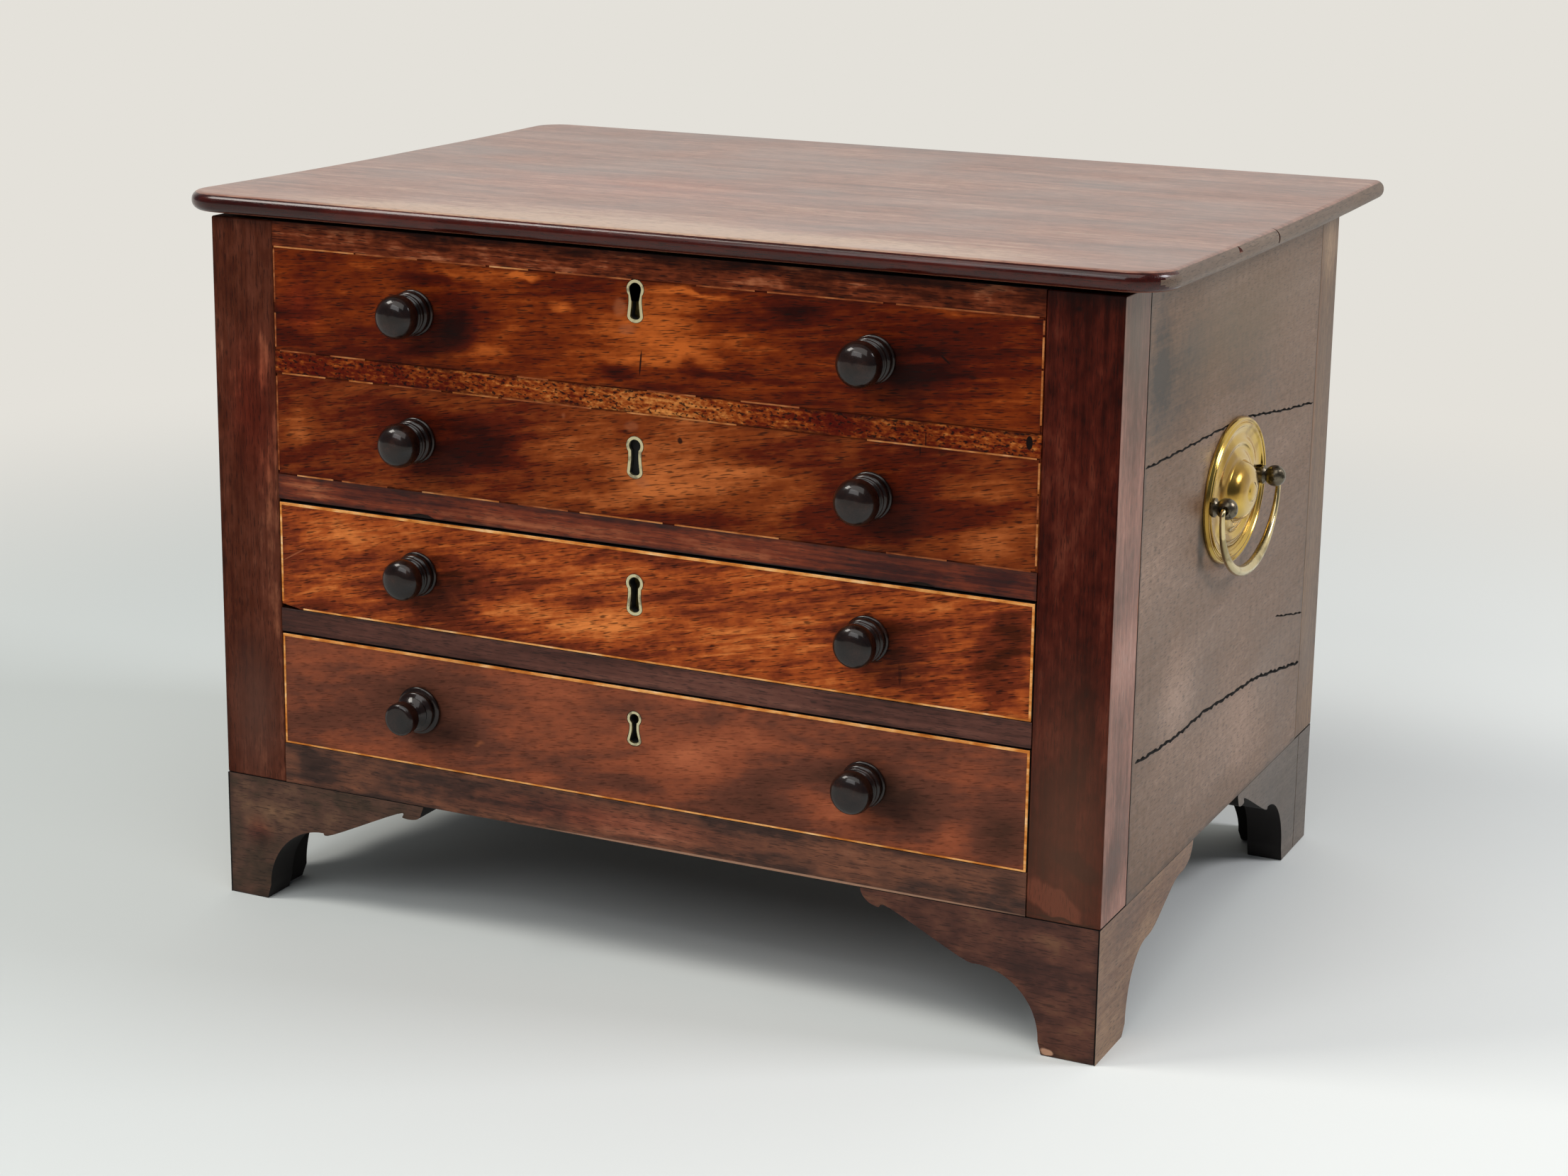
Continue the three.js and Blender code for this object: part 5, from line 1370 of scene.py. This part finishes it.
@dataclass(frozen=True)
class Handle:
    """A pressed oval plate with two posts and a hanging bail."""

    side: str
    half_length: float = 45.0
    half_height: float = 34.0
    post_radius: float = 3.4
    head_radius: float = 5.0
    rings: int = 128

    @property
    def sign(self) -> int:
        """1 on the right and -1 on the left."""
        return 1 if self.side == "right" else -1

    def profile(self) -> list[Point]:
        """Shares of the plate's half length, and reach."""
        front = smooth_through([(0.0, 10.6), (0.06, 10.5), (0.105, 10.1), (0.13, 9.5), (0.15, 9.25),
                                (0.2, 9.1), (0.27, 8.6), (0.33, 7.6), (0.375, 6.0), (0.405, 4.2),
                                (0.43, 2.9), (0.5, 2.1), (0.6, 1.8), (0.7, 1.5), (0.8, 1.4),
                                (0.85, 1.8), (0.88, 2.6), (0.905, 2.7), (0.925, 1.9), (0.94, 1.9),
                                (0.957, 2.6), (0.975, 2.6), (0.99, 1.9), (1.0, 1.1)], 4)
        return [*front, (1.0, 0.25), (0.0, 0.25)]

    def build(self) -> None:
        """Builds the plate, the posts and the bail."""
        box = Box.of(f"{self.side}_handle_plate")
        centre = Vector((self.sign * 225.0, box.middle.y, box.middle.z))
        plate = Shape.turned([(share * self.half_length, reach) for share, reach in self.profile()],
                             (self.sign, 0, 0), self.rings)
        plate.displace(self.relief)
        plate.transform(Matrix.Translation(centre))
        plate.place(f"{self.side}_handle_oval", "carcass", "brass", BRASS,
                    stands_for=[f"{self.side}_handle_plate"], angle=60)
        for end in (-1, 1):
            self.build_post(centre, end)
        self.build_bail(centre)

    def relief(self, co: Vector) -> Vector:
        """Flattens the round plate to an oval and presses its folds."""
        radius = math.hypot(co.y, co.z) / self.half_length
        reach = abs(co.x)
        if reach > 0.5 and 0.42 < radius < 0.84:
            upward = abs(co.z) / max(math.hypot(co.y, co.z), 0.001)
            fold = max(0.0, min(1.0, (upward - 0.3) / 0.45))
            swell = math.sin(math.pi * (radius - 0.42) / 0.42)
            reach += 0.8 * fold * swell * math.sin(2 * math.pi * (radius - 0.42) / 0.2)
        return Vector((self.sign * reach, co.y, co.z * self.half_height / self.half_length))

    def build_post(self, centre: Vector, end: int) -> None:
        """A post with a round drilled head, and its nut inside the case."""
        out = 9.0
        head = arc((0, out), (self.head_radius, self.head_radius), -52, 90, 16)
        post = Shape.turned([(0, -14.2), (6.0, -14.2), (6.0, -11.3), (self.post_radius, -11.3),
                             (self.post_radius, 2.4), (4.4, 2.6), (4.4, 3.8), (3.6, 4.4), *head],
                            (self.sign, 0, 0), 40)
        hole = Shape.turned([(0, 0), (2.3, 0), (2.3, 4.0), (0, 4.0)], (0, end, 0), 24)
        hole.moved(self.sign * out, end * 1.6, 0)
        post.carve(hole)
        post.transform(Matrix.Translation(centre + Vector((0, end * 38, 0))))
        name = "front" if end < 0 else "rear"
        post.place(f"{self.side}_handle_{name}_post", "carcass", "brass", BLACK_BRASS, angle=45)

    def build_bail(self, centre: Vector) -> None:
        """A bar that swells from its hooked ends to its grip."""
        half = [(44.5 * math.cos(t), -2.5 - 33.5 * math.sin(t)) for t in
                (math.pi / 2 * i / 16 for i in range(17))]
        bend = [(42.0 + 2.5 * math.sin(t), 2.5 * math.cos(t) - 2.5) for t in
                (math.pi / 2 * i / 5 for i in range(5))]
        right = [(34.6, 0), (38.0, 0), *bend, *half]
        path = [*right, *((-y, z) for y, z in right[-2::-1])]
        data = bpy.data.curves.new("bail", "CURVE")
        data.dimensions, data.bevel_depth, data.bevel_resolution = "3D", 1.0 * MM, 5
        data.use_fill_caps = True
        line = data.splines.new("POLY")
        line.points.add(len(path) - 1)
        for point, (y, z) in zip(line.points, path):
            point.co = (*metres((centre.x + self.sign * 9.0, centre.y + y, centre.z + z)), 1.0)
            point.radius = 1.25 + 1.35 * (min(z, 0) / 36) ** 2
        rod = bpy.data.objects.new("bail", data)
        bpy.context.scene.collection.objects.link(rod)
        mesh = bpy.data.meshes.new_from_object(rod.evaluated_get(bpy.context.evaluated_depsgraph_get()))
        bpy.data.objects.remove(rod)
        shape = Shape()
        shape.mesh.from_mesh(mesh)
        bmesh.ops.remove_doubles(shape.mesh, verts=shape.mesh.verts, dist=0.00001)
        bmesh.ops.recalc_face_normals(shape.mesh, faces=shape.mesh.faces)
        shape.transform(Matrix.Scale(1 / MM, 4))
        shape.place(f"{self.side}_handle_bar", f"{self.side}_handle_bail", "brass", RUBBED_BRASS,
                    stands_for=[f"{self.side}_handle_bail"], angle=60)


def front_mark(effect: Effect, x: float, z: float, half_x: float, half_z: float, strength: float,
               **more: float | bool) -> Mark:
    """A mark on the front."""
    return Mark(effect, Face.FRONT, (x, z), (half_x, half_z), strength, **more)


def side_mark(effect: Effect, y: float, z: float, half_y: float, half_z: float, strength: float,
              **more: float | bool) -> Mark:
    """A mark on a side."""
    return Mark(effect, Face.SIDE, (y, z), (half_y, half_z), strength, **more)


def knob_dirt_and_shadow(x: float, z: float) -> tuple[Mark, ...]:
    """Old polish and dirt that fingers left round a knob, with the knob's shadow painted in, so that most of
    it lies below on the right.
    """
    return (front_mark(Effect.GRIME_AND_SHADE, x + 4, z - 2, 21, 17, 0.72),
            front_mark(Effect.GRIME_AND_SHADE, x + 16, z - 9, 20, 15, 0.6),
            front_mark(Effect.TONE, x + 8, z - 2, 46, 26, -0.3))


# Finishes of single boards, each with the marks that the photograph shows on it
TONE, RED, GRIME_AND_SHADE, BARE = Effect.TONE, Effect.RED, Effect.GRIME_AND_SHADE, Effect.BARE

UPPER_SHAM = replace(FIGURED, name="upper_sham_mahogany", tones=("#250401", "#4e1302", "#752c06", "#ba5c21"),
                     figure=Layer(64, 13, 0.9, 3, 0.9), streak=Layer(30, 1.6, 0.5, 5),
                     mottle=Layer(6, 3, 0.4, 4), tilt=-6, seed=(12, 0, 7), marks=(
    *knob_dirt_and_shadow(-114, 298.75), *knob_dirt_and_shadow(114, 298.75),
    front_mark(TONE, -56, 320.5, 12, 2.8, 0.7), front_mark(TONE, -74, 284.5, 16, 5.5, 0.35, turn=12),
    front_mark(TONE, -37, 308, 10, 4, 0.45), front_mark(TONE, 29, 319.2, 30, 2.2, 0.6),
    front_mark(TONE, 25, 292.5, 28, 5, 0.35, turn=-6), front_mark(TONE, -106, 315, 28, 5, -0.4),
    front_mark(TONE, -92, 294, 13, 16, -0.4), front_mark(TONE, 79, 316, 19, 6, -0.4),
    front_mark(TONE, -11, 282, 14, 6, -0.45), front_mark(TONE, 43, 284.8, 48, 3, -0.4),
    front_mark(TONE, 15, 300, 60, 26, 0.4), front_mark(TONE, 152, 302, 44, 28, -0.35),
    front_mark(TONE, -165, 314, 30, 12, -0.3), front_mark(TONE, -168, 288, 24, 12, 0.3),
    front_mark(TONE, -84, 300, 24, 24, -0.2), front_mark(RED, -176, 297, 18, 20, 0.6),
    front_mark(BARE, -7.5, 310, 4.6, 6, 0.4, soft=0.6),
    front_mark(BARE, -3.5, 300.5, 5.2, 3.2, 0.4, soft=0.6),
    front_mark(GRIME_AND_SHADE, 2.7, 286.5, 0.5, 6.5, 0.95, turn=-5, soft=0.3, ragged=False),
    front_mark(GRIME_AND_SHADE, 147, 301.6, 3.2, 0.55, 0.9, turn=-39, soft=0.3, ragged=False),
    Edge(GRIME_AND_SHADE, Face.FRONT, (-191, 274), (191, 323.5), 3.0, 0.35)))
LOWER_SHAM = replace(FIGURED, name="lower_sham_mahogany", tones=("#2f0701", "#571905", "#813a13", "#bc6631"),
                     figure=Layer(60, 13, 0.9, 3, 0.9), streak=Layer(30, 1.6, 0.5, 5),
                     mottle=Layer(6, 3, 0.4, 4), tilt=-10, seed=(-30, 0, 41), marks=(
    *knob_dirt_and_shadow(-114, 239.5), *knob_dirt_and_shadow(114, 239.5),
    front_mark(TONE, 24, 232, 56, 10, 0.3, turn=10), front_mark(TONE, 168, 224, 20, 12, 0.2),
    front_mark(TONE, -76, 240, 26, 15, -0.4), front_mark(TONE, 60, 250, 60, 8, -0.2),
    front_mark(TONE, -178, 240, 10, 22, 0.25), front_mark(TONE, -20, 222, 40, 5, 0.3),
    front_mark(TONE, 20, 242, 52, 28, 0.35), front_mark(TONE, -125, 254, 26, 8, -0.3),
    front_mark(BARE, -2, 258, 4, 3, 0.35, soft=0.6), front_mark(BARE, 3.5, 233, 4.5, 3.5, 0.4, soft=0.6),
    front_mark(BARE, -36, 258, 2, 1.6, 0.4), front_mark(GRIME_AND_SHADE, 22, 253.5, 1.8, 1.6, 0.9, soft=0.5),
    front_mark(GRIME_AND_SHADE, 136.6, 262, 0.4, 3, 0.8, soft=0.3, ragged=False),
    Edge(GRIME_AND_SHADE, Face.FRONT, (-191, 215), (191, 264), 3.0, 0.3)))
SHAM_RAIL = replace(FIGURED, name="sham_rail_mahogany", tones=("#450401", "#5d1903", "#8d4012", "#ce8442"),
                    figure=Layer(9, 5, 0.5, 2, 0.5), cloud=Layer(40, 30, 0.6, 1),
                    mottle=Layer(3.0, 1.4, 1.2, 4), pore=Layer(2.0, 1.1, 0.9, 1), marks=(
                        front_mark(TONE, -150, 269, 70, 20, -0.1), front_mark(TONE, -10, 269, 80, 14, 0.2),
                        front_mark(TONE, 92, 269, 24, 10, -0.4),
                        front_mark(GRIME_AND_SHADE, 185.5, 270.2, 1.6, 3.2, 1.0, soft=0.15, ragged=False),
                        front_mark(GRIME_AND_SHADE, 139, 265.5, 0.4, 5.5, 0.8, soft=0.3, ragged=False),
                        Edge(GRIME_AND_SHADE, Face.FRONT, (-191, 264), (191, 274), 1.2, 0.5)))
# The band is darker along its edges, and the dark line along its lower edge is painted shadow of the gap
# above the upper drawer
BAND = replace(RAIL, name="band_mahogany", tones=("#150201", "#3b0b02", "#702c11", "#b16741"), marks=(
    Edge(GRIME_AND_SHADE, Face.FRONT, (-191, 202.5), (191, 215), 2.5, 0.6),
    front_mark(TONE, -172, 209, 22, 9, 0.3), front_mark(TONE, 174, 209, 24, 9, -0.3),
    front_mark(GRIME_AND_SHADE, 60, 202.3, 240, 1.7, 1.0, soft=0.5, ragged=False)))
TOP_BAND = replace(FIGURED, name="top_band_mahogany", tones=("#1a0201", "#3e1506", "#6f3017", "#bb734d"),
                   marks=(Edge(GRIME_AND_SHADE, Face.FRONT, (-400, 200), (400, 336), 7.0, 0.7),))
UPPER_DRAWER = replace(FIGURED, name="upper_drawer_mahogany",
                       tones=("#421806", "#702c14", "#a64d1e", "#e08240"),
                       figure=Layer(44, 9, 1.0, 4, 0.8), mottle=Layer(5, 3, 0.5, 4),
                       tilt=-12, seed=(77, 0, 3), marks=(
    *knob_dirt_and_shadow(-114, 176), *knob_dirt_and_shadow(114, 176),
    front_mark(TONE, 60, 172, 50, 16, 0.3, turn=12), front_mark(TONE, -160, 190, 34, 10, 0.3),
    front_mark(TONE, -30, 164, 90, 13, 0.4), front_mark(TONE, 176, 176, 20, 30, -0.5),
    front_mark(BARE, -182.6, 176.8, 9, 0.45, 0.55, turn=29, soft=0.4, ragged=False),
    front_mark(GRIME_AND_SHADE, 130, 163, 1.2, 8, 0.7, soft=0.6),
    Edge(GRIME_AND_SHADE, Face.FRONT, (-191, 149.8), (191, 201.5), 3.0, 0.3)))
LOWER_DRAWER = replace(FIGURED, name="lower_drawer_mahogany",
                       tones=("#462b20", "#663a2b", "#8e4b31", "#b76643"),
                       figure=Layer(90, 26, 0.9, 2, 1.3), streak=Layer(40, 1.8, 0.3, 4),
                       mottle=Layer(6, 3, 0.35, 4), pore=Layer(5, 0.6, 0.4, 1),
                       tilt=-8, seed=(-64, 0, 88), marks=(
    *knob_dirt_and_shadow(-114, 110), *knob_dirt_and_shadow(114, 110),
    front_mark(TONE, 40, 112, 50, 18, 0.3, turn=12), front_mark(TONE, -155, 99, 34, 15, -0.2),
    front_mark(TONE, 102, 97, 42, 13, 0.5), front_mark(TONE, 176, 100, 24, 26, -0.4),
    front_mark(TONE, 0, 90, 24, 8, -0.3), front_mark(BARE, -82, 98.8, 4, 1.75, 0.45, turn=14),
    Edge(GRIME_AND_SHADE, Face.FRONT, (-191, 82.3), (191, 137), 3.0, 0.3)))
DRAWER_RAIL = replace(RAIL, name="drawer_rail_mahogany", tones=("#230f0f", "#422118", "#5d352a", "#805242"),
                      seed=(5, 0, 9), marks=(
    Edge(GRIME_AND_SHADE, Face.FRONT, (-400, 138), (400, 149.5), 2.0, 0.5),))
BOTTOM_RAIL = replace(RAIL, name="bottom_rail_mahogany", tones=("#160803", "#3f271e", "#764731", "#ac7556"),
                      marks=(
    Edge(GRIME_AND_SHADE, Face.FRONT, (-400, 62), (400, 82), 2.0, 0.4),
    front_mark(GRIME_AND_SHADE, 182, 74, 12, 7, 0.65, soft=0.9),
    # The pale line along the lower edge is worn polish with a painted highlight on the arris
    front_mark(BARE, 70, 62.6, 140, 0.8, 0.85, soft=0.4, ragged=False),
    front_mark(RED, -20, 72, 120, 12, 0.4), front_mark(TONE, -172, 72, 24, 12, -0.35),
    front_mark(TONE, 10, 72, 100, 11, 0.25), front_mark(GRIME_AND_SHADE, -60, 64.5, 18, 1.2, 0.7),
    front_mark(GRIME_AND_SHADE, 40, 65, 22, 1.2, 0.7)), bare="#a67f66", mottle=Layer(9, 4, 0.45, 4),
    streak=Layer(30, 1.8, 0.3, 4))
LEFT_STILE = replace(FRAME, name="left_stile_mahogany", tones=("#2a0703", "#4b2112", "#5b2e1f", "#975b40"),
                     figure=Layer(60, 14, 0.9, 2, 0.5), mottle=Layer(9, 4, 0.7, 3), bare="#5a3e34", marks=(
    Edge(GRIME_AND_SHADE, Face.FRONT, (-226, 0), (-150, 400), 4.0, 0.6),
    Edge(GRIME_AND_SHADE, Face.FRONT, (-400, -400), (400, 338), 9, 0.6),
    front_mark(TONE, -196, 270, 6, 26, 0.45), front_mark(RED, -205, 245, 24, 60, 0.7),
    front_mark(TONE, -196, 150, 6, 60, 0.2), front_mark(BARE, -208, 96, 24, 56, 0.6)))
RIGHT_STILE = replace(FRAME, name="right_stile_mahogany", tones=("#0e0101", "#2e0802", "#48170c", "#6a3222"),
                      figure=Layer(50, 14, 0.9, 2, 0.5), mottle=Layer(9, 4, 0.7, 3), seed=(40, 3, 8),
                      bare="#6d4b3b", marks=(
    Edge(GRIME_AND_SHADE, Face.FRONT, (-400, -400), (400, 338), 14, 0.75),
    front_mark(TONE, 204, 235, 10, 40, 0.15), front_mark(BARE, 208, 90, 40, 120, 0.5),
    front_mark(TONE, 203, 71, 17, 8, 0.7, turn=-28, soft=0.35),
    front_mark(GRIME_AND_SHADE, 213, 89, 15, 6, 0.75, turn=-28, soft=0.45),
    front_mark(GRIME_AND_SHADE, 208, 63.2, 18, 1.2, 1.0, soft=0.4),
    front_mark(GRIME_AND_SHADE, 192, 64.5, 6, 0.9, 0.9, ragged=False),
    front_mark(RED, 208, 285, 24, 50, 0.35), front_mark(GRIME_AND_SHADE, 205, 328, 3.5, 2.5, 0.8)))
RIGHT_SIDE = replace(SIDE, name="right_side_mahogany", tones=("#251508", "#674931", "#7c614e", "#a38572"),
                     seed=(9, 9, 9), marks=(
    side_mark(TONE, -80, 290, 60, 60, -0.3), side_mark(TONE, 10, 264, 130, 34, -0.15),
    side_mark(TONE, -66, 138, 50, 30, 0.4), side_mark(TONE, 0, 104, 150, 44, 0.3),
    # The soft dark patch left of the handle's plate is painted shadow of the plate
    side_mark(TONE, -112, 300, 26, 40, -0.45), side_mark(GRIME_AND_SHADE, -43, 206, 9, 24, 0.75, soft=0.8),
    side_mark(BARE, 0, 300, 150, 46, 0.45),
    side_mark(GRIME_AND_SHADE, 50, 113.5, 5, 0.9, 0.6, turn=20),
    side_mark(GRIME_AND_SHADE, -96, 320, 0.6, 12, 0.7, ragged=False),
    Edge(GRIME_AND_SHADE, Face.SIDE, (-127.9, 62), (135.1, 336), 3, 0.45)), mottle=Layer(5, 4, 0.5, 4),
    bare="#6e5f49")
LEFT_SIDE = replace(SIDE, name="left_side_mahogany", tones=("#2c1710", "#47281d", "#5c382a", "#7c5440"),
                    seed=(-19, 2, 9), marks=(Edge(GRIME_AND_SHADE, Face.SIDE, (-400, 62), (400, 338), 9, 0.4),))
FRONT_STRIP = replace(SIDE, name="front_strip_mahogany", tones=("#26150c", "#653f2f", "#9c6d5d", "#c8a091"),
                      grain=Grain.UPRIGHT, bare="#a8683f", grime_and_shade="#4d483b", marks=(
    side_mark(TONE, -144, 285, 26, 60, -0.25), side_mark(TONE, -144, 176, 26, 30, 0.3),
    side_mark(TONE, -144, 84, 26, 24, -0.2), side_mark(GRIME_AND_SHADE, -145, 318, 26, 62, 0.6),
    side_mark(GRIME_AND_SHADE, -129, 322, 0.7, 11, 0.8, ragged=False),
    side_mark(BARE, -128.2, 210, 1.4, 60, 0.55), side_mark(BARE, -128.2, 120, 1.0, 40, 0.5)))
REAR_STRIP = replace(SIDE, name="rear_strip_mahogany", tones=("#141008", "#5e422c", "#80644c", "#a88a6c"),
                     grain=Grain.UPRIGHT, bare="#9c6a4a", marks=(
    side_mark(GRIME_AND_SHADE, 142.5, 200, 0.5, 170, 0.8, ragged=False), side_mark(TONE, 150, 318, 20, 30, 0.35),
    side_mark(BARE, 137, 250, 2.2, 90, 0.35),
    side_mark(GRIME_AND_SHADE, 164.5, 200, 2.5, 170, 0.5)))
FOOT = replace(RAIL, name="worn_mahogany", figure=Layer(34, 20, 0.8, 3, 1.0), streak=Layer(20, 2.2, 0.25, 3),
               mottle=Layer(9, 6, 0.9, 4))
LEFT_FOOT = replace(FOOT, name="left_foot_mahogany", tones=("#1a140d", "#402e21", "#55392c", "#795840"),
                    seed=(4, 4, 4), marks=(
    front_mark(RED, -208, 34, 12, 12, 0.5), front_mark(TONE, -200, 46, 16, 8, 0.3),
    Edge(GRIME_AND_SHADE, Face.FRONT, (-226, 0), (400, 400), 5, 0.5)))
RIGHT_FOOT = replace(FOOT, name="right_foot_mahogany", tones=("#28150f", "#42231a", "#593325", "#744e36"),
                     seed=(54, 4, 4), bare="#c99a7c", marks=(
    front_mark(TONE, 200, 52, 22, 9, 0.35), front_mark(BARE, 202.5, 1.5, 3.4, 1.6, 0.8, soft=0.4),
    Edge(GRIME_AND_SHADE, Face.FRONT, (-400, 0), (226, 400), 5, 0.6)))
SIDE_FOOT = replace(SIDE, name="side_foot_mahogany", tones=("#2c190e", "#6e4e39", "#95755a", "#c9b29b"))
REAR_FOOT = replace(SIDE, name="rear_foot_mahogany", tones=("#362b25", "#54473d", "#6b5e54", "#887a6e"))
DEAL_BACK = replace(DEAL, name="dirty_deal", tones=("#4a3524", "#6b4f37", "#80613f", "#9a7a54"),
                    grain=Grain.ACROSS)
LID = replace(TOP, name="lid_mahogany", tones=("#411a12", "#704230", "#8f5f4c", "#b39078"),
              streak=Layer(90, 2.2, 0.8, 5), mottle=Layer(14, 5, 0.55, 4), marks=(
    Mark(RED, Face.TOP, (-70, -30), (130, 70), 0.25), Mark(TONE, Face.TOP, (-80, -40), (110, 60), 0.15),
    # The lid is lighter along its front: painted sheen of the room's light
    Mark(TONE, Face.TOP, (0, 178), (280, 30), -0.2), Mark(TONE, Face.TOP, (0, -165), (300, 66), 0.75),
    Mark(GRIME_AND_SHADE, Face.TOP, (-221.7, 161), (3.2, 0.7), 0.7, turn=25, soft=0.5, ragged=False),
    Mark(GRIME_AND_SHADE, Face.TOP, (221.0, 160), (5.0, 0.7), 0.7, turn=-8, soft=0.5, ragged=False)))


class Chest:
    """The whole chest on its stage."""

    def __init__(self) -> None:
        self.parts = (
            Stage(), Carcass(), ShamFronts(), Lid(), Feet(), Knobs(),
            Drawer("upper_drawer", PLAIN_KEY, UPPER_DRAWER, cut_corner=True),
            Drawer("lower_drawer", FLARED_KEY, LOWER_DRAWER), Handle("left"), Handle("right"))

    def build(self) -> None:
        """Builds every part."""
        for part in self.parts:
            part.build()


def main() -> None:
    """Loads the frame and dresses it."""
    logging.basicConfig(level=logging.INFO, format="%(name)s: %(message)s")
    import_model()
    Chest().build()
    bpy.context.view_layer.update()
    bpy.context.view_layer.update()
    scene = bpy.context.scene
    scene.view_settings.view_transform = "Standard"


if __name__ == "__main__":
    main()
